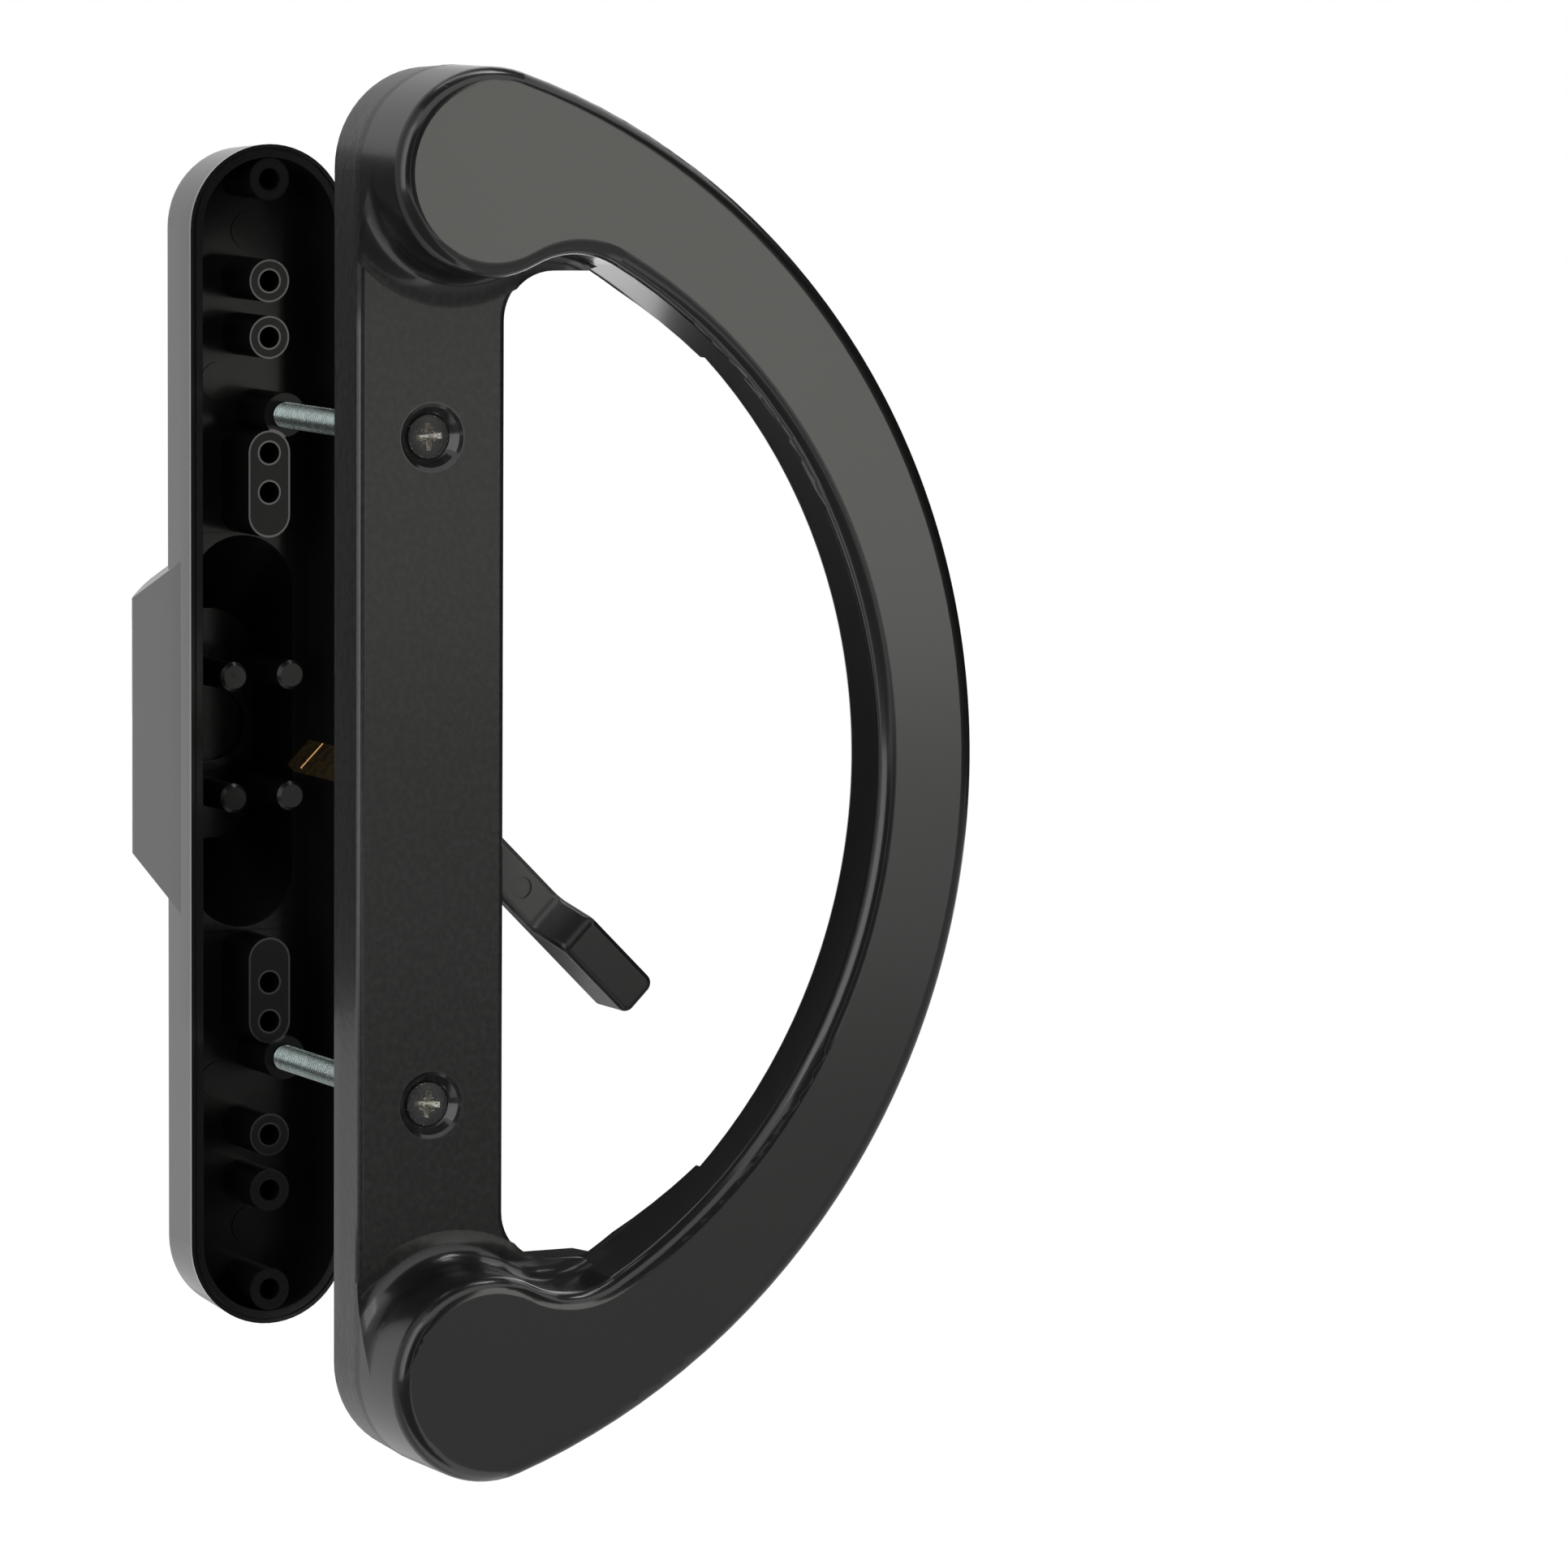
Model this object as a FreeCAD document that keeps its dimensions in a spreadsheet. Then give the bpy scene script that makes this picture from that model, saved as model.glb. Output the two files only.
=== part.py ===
import FreeCAD, Part
import Sketcher
import math
import os
import re

# Sliding patio door handle set: inside pull with thumb latch, outside pull, through screws.
# X runs across the door stile towards the grip, Y runs from the room through the door,
# Z is up. The screw axes lie on X = 0, halfway between them is Z = 0, and the face of
# the inside base is at Y = 0. All lengths are in millimetres.

Vector = FreeCAD.Vector
doc = FreeCAD.newDocument("patio_door_handle")
sheet = doc.addObject("Spreadsheet::Sheet", "Sizes")

sizes = {
    # door and screws
    "door_thickness": 46.0,
    "screw_spacing": 100.0,
    "screw_diameter": 4.0,
    "screw_head_diameter": 6.7,
    "screw_head_sink": 1.3,
    "screw_rim_height": 0.3,
    "screw_rim_inset": 0.25,
    "screw_tip_length": 1.0,
    "screw_tip_inset": 0.7,
    "screw_reach": 8.0,
    "screw_end_room": 1.0,
    "screw_slack": 0.3,
    "thread_slack": 0.05,
    "drive_width": 3.9,
    "drive_slot": 0.9,
    "drive_depth": 0.9,
    # inside base
    "base_width": 24.0,
    "base_depth": 10.0,
    "face_wall": 2.6,
    "side_wall": 2.6,
    "base_draft": 3.0,
    "base_edge_radius": 1.0,
    "recess_diameter": 10.2,
    "recess_lip_depth": 0.325,
    "recess_lip_inset": 0.55,
    "recess_floor_gap": 0.35,
    "cut_margin": 1.0,
    "boss_diameter": 9.6,
    "rib_thickness": 1.8,
    "rib_inset": 1.5,
    "inner_rib_height": 32.0,
    "outer_rib_height": 68.0,
    # grip
    "pad_radius": 15.5,
    "pad_height": 89.6,
    "pad_core_radius": 11.5,
    "pad_front_wall": 3.4,
    "grip_reach": 83.4,
    "grip_width": 15.7,
    "grip_rise": 15.2,
    "grip_thickness": 11.8,
    "throat_radius": 13.5,
    "throat_place": 17.0,
    "front_edge_radius": 2.4,
    "back_edge_radius": 1.4,
    "skirt_radius": 5.0,
    "skirt_end_gap": 1.1,
    "ear_length": 11.5,
    "ear_drop": 1.2366,
    "root_length": 14.0,
    "root_foot": 2.0,
    "root_step": 0.2,
    "base_throat_radius": 7.4,
    # thumb latch
    "latch_drop": 2.2,
    "latch_rest_angle": 45.0,
    "arm_width": 6.8,
    "arm_thickness": 2.7,
    "arm_gap": 0.4,
    "arm_length": 28.4,
    "ramp_length": 3.6,
    "thumb_rise": 6.3,
    "latch_length": 47.0,
    "thumb_corner_radius": 1.6,
    "thumb_edge_radius": 0.9,
    "bend_radius": 1.8,
    "dimple_diameter": 3.4,
    "dimple_depth": 0.35,
    "dimple_place": 22.8,
    "hub_radius": 7.2,
    "pivot_radius": 2.6,
    "pivot_length": 1.4,
    "stem_radius": 4.4,
    "stem_length": 3.6,
    "pivot_slack": 0.08,
    "slot_margin": 1.0,
    # tailpiece
    "tail_width": 5.2,
    "tail_thickness": 1.6,
    "tail_seat": 4.0,
    "tail_stop": 6.5,
    "tail_slack": 0.05,
    "score_place": 5.5,
    "score_width": 0.5,
    "score_depth": 0.25,
    # latch retainer
    "plate_thickness": 1.2,
    "plate_length": 28.0,
    "plate_width": 15.6,
    "plate_corner_radius": 2.5,
    "washer_thickness": 0.5,
    "washer_height": 1.1,
    "washer_radius": 6.8,
    "washer_slack": 0.05,
    "keeper_pitch": 21.0,
    "keeper_diameter": 2.9,
    "keeper_head_diameter": 5.0,
    "keeper_head_height": 1.5,
    "keeper_rim_height": 0.9,
    "keeper_crown_inset": 0.7,
    "keeper_length": 5.0,
    "keeper_tip_length": 0.5,
    "keeper_tip_inset": 0.4,
    "keeper_post_diameter": 5.2,
    "keeper_drive_width": 3.0,
    "keeper_drive_slot": 0.7,
    "keeper_drive_depth": 0.8,
    # outside pull
    "shell_offset": 2.6,
    "shell_width": 26.1,
    "shell_length": 183.4,
    "shell_depth": 13.2,
    "shell_wall": 2.0,
    "shell_draft": 4.0,
    "shell_edge_radius": 2.4,
    "rim_groove_inset": 0.6,
    "rim_groove_width": 0.3,
    "rim_groove_depth": 0.3,
    "ring_boss_diameter": 6.6,
    "ring_boss_hole": 3.3,
    "ring_hole_depth": 9.0,
    "boss_place_far": 86.3,
    "boss_place_middle": 70.7,
    "boss_place_near": 62.0,
    "long_boss_outer": 44.2,
    "long_boss_inner": 38.1,
    "long_boss_width": 6.9,
    "long_boss_gap": 0.4,
    "screw_boss_diameter": 6.8,
    "finger_rise": 14.6,
    "finger_side_length": 49.0,
    "finger_end_bulge": 6.0,
    "finger_end_slope": 5.2,
    "finger_root_run": 3.12,
    "finger_side_inset": 0.35,
    "finger_side_draft": 0.2,
    "finger_wall": 2.6,
    "finger_edge_radius": 2.6,
    "cavity_half_width": 8.6,
    "cavity_overlap": 0.01,
    "cavity_half_length": 30.7,
    "cavity_end_slope": 12.5,
    "cavity_side_draft": 0.8,
    "post_diameter": 4.6,
    "post_spacing_x": 9.5,
    "post_spacing_z": 18.9,
    "post_shortfall": 2.3,
    "post_edge_chamfer": 0.5,
    "knockout_radius": 7.2,
    "knockout_wall": 1.4,
    "knockout_height": 1.2,
    "ejector_radius": 3.0,
    "ejector_height": 0.2,
    "ejector_far_x": 1.3,
    "ejector_far_z": 78.0,
    "ejector_near_x": 3.9,
    "ejector_near_z": 54.7,
}

for row, (alias, amount) in enumerate(sizes.items(), start=1):
    sheet.set(f"A{row}", alias)
    sheet.set(f"B{row}", str(amount))
    sheet.setAlias(f"B{row}", alias)
doc.recompute()


def bound(text):
    """The expression with every size name pointed at the sheet."""
    return re.sub(r"[a-z_]+", lambda word: ("Sizes." if word[0] in sizes else "") + word[0], text)


def value(text):
    return float(sheet.evalExpression(bound(text)))


def bind(item, prop, text):
    item.setExpression(prop, bound(text))


def new_body(label):
    body = doc.addObject("PartDesign::Body", label)
    body.Label = label
    return body


def new_sketch(body, name, role, offset="0"):
    """A sketch on one of the body's own planes, moved along that plane's normal."""
    sketch = body.newObject("Sketcher::SketchObject", name)
    plane = next(item for item in body.Origin.OriginFeatures if item.Role == role)
    sketch.AttachmentSupport = [(plane, "")]
    sketch.MapMode = "FlatFace"
    bind(sketch, "AttachmentOffset.Base.z", offset)
    return sketch


def front_sketch(body, name, depth="0"):
    """A sketch facing the room, with X across and Z up, at the given depth."""
    return new_sketch(body, name, "XZ_Plane", f"-({depth})")


def dimension(sketch, kind, geometry, text):
    index = sketch.addConstraint(Sketcher.Constraint(kind, *geometry, value(text)))
    bind(sketch, f"Constraints[{index}]", text)


def place(sketch, geometry, position, x_text, y_text):
    """Ties a point of the sketch to the origin by its two distances."""
    dimension(sketch, "DistanceX", (-1, 1, geometry, position), x_text)
    dimension(sketch, "DistanceY", (-1, 1, geometry, position), y_text)


def add_circle(sketch, x_text, y_text, radius_text):
    centre = Vector(value(x_text), value(y_text), 0)
    index = sketch.addGeometry(Part.Circle(centre, Vector(0, 0, 1), value(radius_text)), False)
    place(sketch, index, 3, x_text, y_text)
    dimension(sketch, "Radius", (index,), radius_text)
    return index


def add_polygon(sketch, corners):
    """A closed outline of straight lines, each corner tied to the origin."""
    points = [Vector(value(x), value(y), 0) for x, y in corners]
    count = len(points)
    first = sketch.GeometryCount
    for index in range(count):
        sketch.addGeometry(Part.LineSegment(points[index], points[(index + 1) % count]), False)
    for index in range(count):
        following = (index + 1) % count
        sketch.addConstraint(Sketcher.Constraint("Coincident", first + index, 2, first + following, 1))
    for index, (x_text, y_text) in enumerate(corners):
        place(sketch, first + index, 1, x_text, y_text)
    return first


def add_rectangle(sketch, left, right, bottom, top):
    return add_polygon(sketch, [(left, bottom), (right, bottom), (right, top), (left, top)])


def arc_between(centre, start, end):
    """The arc that runs anticlockwise from start to end."""
    radius = (start - centre).Length
    first = math.atan2(start.y - centre.y, start.x - centre.x)
    last = math.atan2(end.y - centre.y, end.x - centre.x)
    circle = Part.Circle(centre, Vector(0, 0, 1), radius)
    return Part.ArcOfCircle(circle, first, last if last > first else last + 2 * math.pi)


def add_slot(sketch, x_text, low_text, high_text, radius_text):
    """An upright round-ended slot between two end centres."""
    x, low, high, radius = (value(text) for text in (x_text, low_text, high_text, radius_text))
    top, bottom = Vector(x, high, 0), Vector(x, low, 0)
    side = Vector(radius, 0, 0)
    first = sketch.GeometryCount
    sketch.addGeometry(arc_between(top, top + side, top - side), False)
    sketch.addGeometry(Part.LineSegment(top - side, bottom - side), False)
    sketch.addGeometry(arc_between(bottom, bottom - side, bottom + side), False)
    sketch.addGeometry(Part.LineSegment(bottom + side, top + side), False)
    for index in range(4):
        following = first + (index + 1) % 4
        sketch.addConstraint(Sketcher.Constraint("Tangent", first + index, 2, following, 1))
    place(sketch, first, 3, x_text, high_text)
    place(sketch, first + 2, 3, x_text, low_text)
    dimension(sketch, "Radius", (first,), radius_text)


def pad(body, sketch, length, away=True):
    """Adds material, away from the room or towards it."""
    feature = body.newObject("PartDesign::Pad", sketch.Name + "_pad")
    feature.Profile = sketch
    feature.Reversed = away
    bind(feature, "Length", length)
    return feature


def pocket(body, sketch, length, away=True):
    """Takes material out and checks that some was there."""
    doc.recompute()
    before = body.Shape.Volume
    feature = body.newObject("PartDesign::Pocket", sketch.Name + "_pocket")
    feature.Profile = sketch
    feature.Reversed = not away
    bind(feature, "Length", length)
    doc.recompute()
    if not body.Shape.Volume < before:
        raise ValueError(sketch.Name + " cuts nothing")
    return feature


def edges_where(shape, test):
    return [f"Edge{index}" for index, edge in enumerate(shape.Edges, start=1) if test(edge)]


def round_edges(body, name, radius, test):
    doc.recompute()
    base = body.Tip
    feature = body.newObject("PartDesign::Fillet", name)
    feature.Base = (base, edges_where(base.Shape, test))
    bind(feature, "Radius", radius)
    doc.recompute()
    return feature


def bevel_edges(body, name, size, test):
    doc.recompute()
    base = body.Tip
    feature = body.newObject("PartDesign::Chamfer", name)
    feature.Base = (base, edges_where(base.Shape, test))
    bind(feature, "Size", size)
    doc.recompute()
    return feature


def in_depth_plane(edge, depth):
    """True for an edge that lies wholly at one depth."""
    box = edge.BoundBox
    return abs(box.YMin - depth) < 1e-4 and abs(box.YMax - depth) < 1e-4


# Outline of the grip: two pads, a long outer arc and an inner arc, joined by throat arcs.

pad_centre = "pad_radius - base_width / 2"
throat_height = ("(pad_height - sqrt((pad_radius + throat_radius)^2"
                 " - (throat_place - pad_radius + base_width / 2)^2))")
inner_span = "(grip_reach - grip_width - throat_radius)"
inner_centre = (f"(({inner_span}^2 - throat_place^2 - {throat_height}^2)"
                f" / (2 * ({inner_span} - throat_place)))")
inner_radius = f"(grip_reach - grip_width - {inner_centre})"
ear_end = "(throat_place + ear_length)"
root_end = "(throat_place + ear_length + root_length)"
touch_height = f"({throat_height} * {inner_radius} / ({inner_radius} - throat_radius))"
ear_height = f"({touch_height} - ear_drop)"
meet_x = f"({inner_centre} + sqrt({inner_radius}^2 - {ear_height}^2))"


def grip_points():
    """Centres and tangent points of the upper half of the grip outline."""
    radius = value("pad_radius")
    pad_middle = Vector(value(pad_centre), value("pad_height"), 0)
    span = value("grip_reach") - radius
    outer_x = (span**2 - pad_middle.x**2 - pad_middle.y**2) / (2 * (span - pad_middle.x))
    outer = Vector(outer_x, 0, 0)
    outer_radius = value("grip_reach") - outer_x
    inner = Vector(value(inner_centre), 0, 0)
    throat_middle = Vector(value("throat_place"), value(throat_height), 0)
    return {
        "pad": pad_middle,
        "outer": outer,
        "inner": inner,
        "throat": throat_middle,
        "outer_touch": outer + (pad_middle - outer).normalize() * outer_radius,
        "pad_touch": pad_middle + (throat_middle - pad_middle).normalize() * radius,
        "inner_touch": inner + (throat_middle - inner).normalize() * value(inner_radius),
    }


def flipped(point):
    return Vector(point.x, -point.y, 0)


def apex_point(sketch, arc, x_text):
    """Makes an arc pass through a point on the X axis."""
    index = sketch.addGeometry(Part.Point(Vector(value(x_text), 0, 0)), True)
    place(sketch, index, 1, x_text, "0")
    sketch.addConstraint(Sketcher.Constraint("PointOnObject", index, 1, arc))


def draw_grip(sketch):
    at = grip_points()
    low = {name: flipped(point) for name, point in at.items()}
    outer, pad_top, throat_top, inner, throat_low, pad_low = range(6)
    sketch.addGeometry(arc_between(at["outer"], low["outer_touch"], at["outer_touch"]), False)
    sketch.addGeometry(arc_between(at["pad"], at["outer_touch"], at["pad_touch"]), False)
    sketch.addGeometry(arc_between(at["throat"], at["inner_touch"], at["pad_touch"]), False)
    sketch.addGeometry(arc_between(at["inner"], low["inner_touch"], at["inner_touch"]), False)
    sketch.addGeometry(arc_between(low["throat"], low["pad_touch"], low["inner_touch"]), False)
    sketch.addGeometry(arc_between(low["pad"], low["pad_touch"], low["outer_touch"]), False)
    joints = [
        (outer, 2, pad_top, 1), (pad_top, 2, throat_top, 2), (throat_top, 1, inner, 2),
        (inner, 1, throat_low, 2), (throat_low, 1, pad_low, 1), (pad_low, 2, outer, 1),
    ]
    for joint in joints:
        sketch.addConstraint(Sketcher.Constraint("Tangent", *joint))
    place(sketch, pad_top, 3, pad_centre, "pad_height")
    place(sketch, pad_low, 3, pad_centre, "-pad_height")
    for index, alias in ((pad_top, "pad_radius"), (pad_low, "pad_radius"), (throat_top, "throat_radius"),
                         (throat_low, "throat_radius"), (inner, inner_radius)):
        dimension(sketch, "Radius", (index,), alias)
    place(sketch, inner, 3, inner_centre, "0")
    apex_point(sketch, outer, "grip_reach")


def across_grip(at, x, sign):
    """Points of the outer and the inner arc of the grip at one distance from the screws."""
    outer_radius = value("grip_reach") - at["outer"].x
    outside = math.sqrt(outer_radius**2 - (x - at["outer"].x)**2)
    inside = math.sqrt(value(inner_radius)**2 - (x - at["inner"].x)**2)
    return Vector(x, sign * outside, 0), Vector(x, sign * inside, 0)


throat_centre = "base_width / 2 + base_throat_radius"
base_throat_height = f"({ear_height} - base_throat_radius)"


def draw_base(sketch):
    """Outline of the base: the pad ends, a short ear under each end of the grip, the throats."""
    at = grip_points()
    ear_top, _ = across_grip(at, value(ear_end), 1)
    ear_low = Vector(ear_top.x, value(ear_height), 0)
    throat = Vector(value(throat_centre), value(base_throat_height), 0)
    crest = Vector(throat.x, ear_low.y, 0)
    right = Vector(value("base_width / 2"), throat.y, 0)
    left = Vector(-right.x, value("pad_height"), 0)
    first = sketch.GeometryCount
    names = ["left", "pad_top", "arc_top", "end_top", "ear_top", "throat_top", "right",
             "throat_low", "ear_low", "end_low", "arc_low", "pad_low"]
    index = {name: first + number for number, name in enumerate(names)}
    for shape in (
        Part.LineSegment(left, flipped(left)),
        arc_between(at["pad"], at["outer_touch"], left),
        arc_between(at["outer"], ear_top, at["outer_touch"]),
        Part.LineSegment(ear_low, ear_top),
        Part.LineSegment(crest, ear_low),
        arc_between(throat, crest, right),
        Part.LineSegment(flipped(right), right),
        arc_between(flipped(throat), flipped(right), flipped(crest)),
        Part.LineSegment(flipped(crest), flipped(ear_low)),
        Part.LineSegment(flipped(ear_top), flipped(ear_low)),
        arc_between(at["outer"], flipped(at["outer_touch"]), flipped(ear_top)),
        arc_between(flipped(at["pad"]), flipped(left), flipped(at["outer_touch"])),
    ):
        sketch.addGeometry(shape, False)
    joints = [
        ("Tangent", "left", 1, "pad_top", 2), ("Tangent", "pad_top", 1, "arc_top", 2),
        ("Coincident", "arc_top", 1, "end_top", 2), ("Coincident", "end_top", 1, "ear_top", 2),
        ("Tangent", "ear_top", 1, "throat_top", 1),
        ("Tangent", "throat_top", 2, "right", 2), ("Tangent", "right", 1, "throat_low", 1),
        ("Tangent", "throat_low", 2, "ear_low", 1),
        ("Coincident", "ear_low", 2, "end_low", 2), ("Coincident", "end_low", 1, "arc_low", 2),
        ("Tangent", "arc_low", 1, "pad_low", 2), ("Tangent", "pad_low", 1, "left", 2),
    ]
    for kind, one, one_end, other, other_end in joints:
        sketch.addConstraint(Sketcher.Constraint(kind, index[one], one_end, index[other], other_end))
    for side, sign in (("top", ""), ("low", "-")):
        place(sketch, index["pad_" + side], 3, pad_centre, sign + "pad_height")
        place(sketch, index["throat_" + side], 3, throat_centre, sign + base_throat_height)
        sketch.addConstraint(Sketcher.Constraint("Vertical", index["end_" + side]))
        sketch.addConstraint(Sketcher.Constraint("Horizontal", index["ear_" + side]))
        dimension(sketch, "DistanceX", (-1, 1, index["end_" + side], 1), ear_end)
        sketch.addConstraint(Sketcher.Constraint("PointOnObject", index["arc_" + side], 3, -1))
        apex = sketch.addGeometry(Part.Point(Vector(value("grip_reach"), 0, 0)), True)
        place(sketch, apex, 1, "grip_reach", "0")
        sketch.addConstraint(Sketcher.Constraint("PointOnObject", apex, 1, index["arc_" + side]))
    dimension(sketch, "Radius", (index["pad_top"],), "pad_radius")
    dimension(sketch, "Radius", (index["throat_top"],), "base_throat_radius")
    sketch.addConstraint(Sketcher.Constraint("Vertical", index["left"]))
    sketch.addConstraint(Sketcher.Constraint("Vertical", index["right"]))


def side_points(sign):
    """Points of the upper or the lower half of the grip outline."""
    at = grip_points()
    return at if sign > 0 else {name: flipped(point) for name, point in at.items()}


def add_skirt(body, side, sign):
    """The hollow round that leads from the base face up to the grip, swept along its wall."""
    at = side_points(sign)
    minus = "-" if sign < 0 else ""
    path = front_sketch(body, f"skirt_path_{side}")
    left = at["pad"] - Vector(value("pad_radius"), 0, 0)
    _, end = across_grip(at, value(f"{meet_x} - skirt_end_gap"), sign)
    spans = [("pad", left, at["pad_touch"]), ("throat", at["inner_touch"], at["pad_touch"]),
             ("inner", end, at["inner_touch"])]
    for middle, start, finish in spans:
        ends = (start, finish) if sign > 0 else (finish, start)
        path.addGeometry(arc_between(at[middle], *ends), False)
    last, first = (2, 1) if sign > 0 else (1, 2)
    path.addConstraint(Sketcher.Constraint("Tangent", 0, last, 1, last))
    path.addConstraint(Sketcher.Constraint("Tangent", 1, first, 2, last))
    place(path, 0, 3, pad_centre, minus + "pad_height")
    place(path, 2, 3, inner_centre, "0")
    dimension(path, "DistanceY", (-1, 1, 0, first), minus + "pad_height")
    dimension(path, "DistanceX", (-1, 1, 2, first), f"{meet_x} - skirt_end_gap")
    dimension(path, "Radius", (0,), "pad_radius")
    dimension(path, "Radius", (1,), "throat_radius")
    dimension(path, "Radius", (2,), inner_radius)
    section = new_sketch(body, f"skirt_section_{side}", "XY_Plane", minus + "pad_height")
    outside, wall = "-base_width / 2 - skirt_radius", "-base_width / 2"
    inside = "side_wall / 2 - base_width / 2"
    corners = [(outside, "0"), (outside, "base_edge_radius"), (inside, "base_edge_radius"),
               (inside, "-skirt_radius"), (wall, "-skirt_radius")]
    points = [Vector(value(x), value(y), 0) for x, y in corners]
    middle = Vector(points[0].x, points[4].y, 0)
    for start, finish in zip(points, points[1:]):
        section.addGeometry(Part.LineSegment(start, finish), False)
    section.addGeometry(arc_between(middle, points[4], points[0]), False)
    for index in range(5):
        section.addConstraint(Sketcher.Constraint("Coincident", index, 2, (index + 1) % 5, 1))
    for index, (x_text, y_text) in enumerate(corners):
        place(section, index, 1, x_text, y_text)
    dimension(section, "Radius", (4,), "skirt_radius")
    doc.recompute()
    skirt = body.newObject("PartDesign::AdditivePipe", f"skirt_{side}")
    skirt.Profile = section
    skirt.Spine = (path, ["Edge1", "Edge2", "Edge3"])
    doc.recompute()


def draw_tower(sketch, sign):
    """The end of the grip that stands on the base, with the root that leads into the grip."""
    at = side_points(sign)
    minus = "-" if sign < 0 else ""
    outside, inside = across_grip(at, value(root_end), sign)
    spans = [("outer", outside, at["outer_touch"]), ("pad", at["outer_touch"], at["pad_touch"]),
             ("throat", at["inner_touch"], at["pad_touch"]), ("inner", inside, at["inner_touch"])]
    for middle, start, finish in spans:
        ends = (start, finish) if sign > 0 else (finish, start)
        sketch.addGeometry(arc_between(at[middle], *ends), False)
    sketch.addGeometry(Part.LineSegment(inside, outside), False)
    far, near = (2, 1) if sign > 0 else (1, 2)
    sketch.addConstraint(Sketcher.Constraint("Tangent", 0, far, 1, near))
    sketch.addConstraint(Sketcher.Constraint("Tangent", 1, far, 2, far))
    sketch.addConstraint(Sketcher.Constraint("Tangent", 2, near, 3, far))
    sketch.addConstraint(Sketcher.Constraint("Coincident", 3, near, 4, 1))
    sketch.addConstraint(Sketcher.Constraint("Coincident", 4, 2, 0, near))
    sketch.addConstraint(Sketcher.Constraint("PointOnObject", 0, 3, -1))
    place(sketch, 1, 3, pad_centre, minus + "pad_height")
    place(sketch, 3, 3, inner_centre, "0")
    dimension(sketch, "DistanceX", (-1, 1, 4, 1), root_end)
    sketch.addConstraint(Sketcher.Constraint("Vertical", 4))
    dimension(sketch, "Radius", (1,), "pad_radius")
    dimension(sketch, "Radius", (2,), "throat_radius")
    dimension(sketch, "Radius", (3,), inner_radius)
    apex_point(sketch, 0, "grip_reach")


def draw_throat(sketch, sign):
    """The gap between base and ear, closed by straight lines."""
    minus = "-" if sign < 0 else ""
    middle = Vector(value(throat_centre), sign * value(base_throat_height), 0)
    below = f"{minus}({base_throat_height} - 2 * base_throat_radius)"
    crest = Vector(middle.x, sign * value(ear_height), 0)
    corner = Vector(value(meet_x), crest.y, 0)
    side = Vector(value("base_width / 2"), middle.y, 0)
    foot, heel = Vector(side.x, value(below), 0), Vector(corner.x, value(below), 0)
    ends = (crest, side) if sign > 0 else (side, crest)
    sketch.addGeometry(arc_between(middle, *ends), False)
    for start, finish in ((side, foot), (foot, heel), (heel, corner), (corner, crest)):
        sketch.addGeometry(Part.LineSegment(start, finish), False)
    near, far = (1, 2) if sign > 0 else (2, 1)
    sketch.addConstraint(Sketcher.Constraint("Tangent", 0, far, 1, 1))
    for index in (1, 2, 3):
        sketch.addConstraint(Sketcher.Constraint("Coincident", index, 2, index + 1, 1))
    sketch.addConstraint(Sketcher.Constraint("Tangent", 4, 2, 0, near))
    place(sketch, 0, 3, throat_centre, minus + base_throat_height)
    place(sketch, 2, 2, meet_x, below)
    for kind, index in (("Vertical", 1), ("Horizontal", 2), ("Vertical", 3), ("Horizontal", 4)):
        sketch.addConstraint(Sketcher.Constraint(kind, index))
    dimension(sketch, "Radius", (0,), "base_throat_radius")


# Inside pull: base, grip and the skirts between them.

pull = new_body("interior_pull")
pull.AllowCompound = True
outline = front_sketch(pull, "base_outline")
draw_base(outline)
base_pad = pad(pull, outline, "base_depth")
bind(base_pad, "TaperAngle", "-base_draft")
round_edges(pull, "base_edges", "base_edge_radius", lambda edge: in_depth_plane(edge, 0))
bar = front_sketch(pull, "grip_outline", "grip_thickness - grip_rise")
draw_grip(bar)
pad(pull, bar, "grip_thickness", away=False)
front, back = -value("grip_rise"), value("grip_thickness - grip_rise")
round_edges(pull, "grip_front_edges", "front_edge_radius", lambda edge: in_depth_plane(edge, front))
round_edges(pull, "grip_back_edges", "back_edge_radius", lambda edge: in_depth_plane(edge, back))
for side, sign in (("top", 1), ("low", -1)):
    tower = front_sketch(pull, f"tower_{side}", "base_edge_radius")
    draw_tower(tower, sign)
    pad(pull, tower, "base_edge_radius + grip_rise - front_edge_radius", away=False)
    doc.recompute()
root_start = f"{ear_end} + root_foot"
root_tip = "grip_thickness - grip_rise + root_step"
root_slope = new_sketch(pull, "root_slope", "XY_Plane")
add_polygon(root_slope, [
    (root_start, "base_edge_radius"), (root_end, root_tip), (f"{root_end} + root_foot", root_tip),
    (f"{root_end} + root_foot", "2 * base_edge_radius"), (root_start, "2 * base_edge_radius"),
])
root_cut = pocket(pull, root_slope, "2 * (pad_height + 2 * pad_radius)")
root_cut.Midplane = True
for side, sign in (("top", 1), ("low", -1)):
    add_skirt(pull, side, sign)
left_clip = front_sketch(pull, "left_clip", "base_edge_radius")
beyond = "pad_height + 2 * pad_radius"
add_rectangle(left_clip, "-base_width", "-base_width / 2", f"-({beyond})", beyond)
pocket(pull, left_clip, "skirt_radius + base_edge_radius", away=False)
for side, sign in (("top", 1), ("low", -1)):
    throat_clip = front_sketch(pull, f"throat_clip_{side}", "base_edge_radius")
    draw_throat(throat_clip, sign)
    pocket(pull, throat_clip, "skirt_radius + base_edge_radius", away=False)

# Hollow back of the inside pull, with its screw bosses, ribs and latch pivot.

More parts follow.
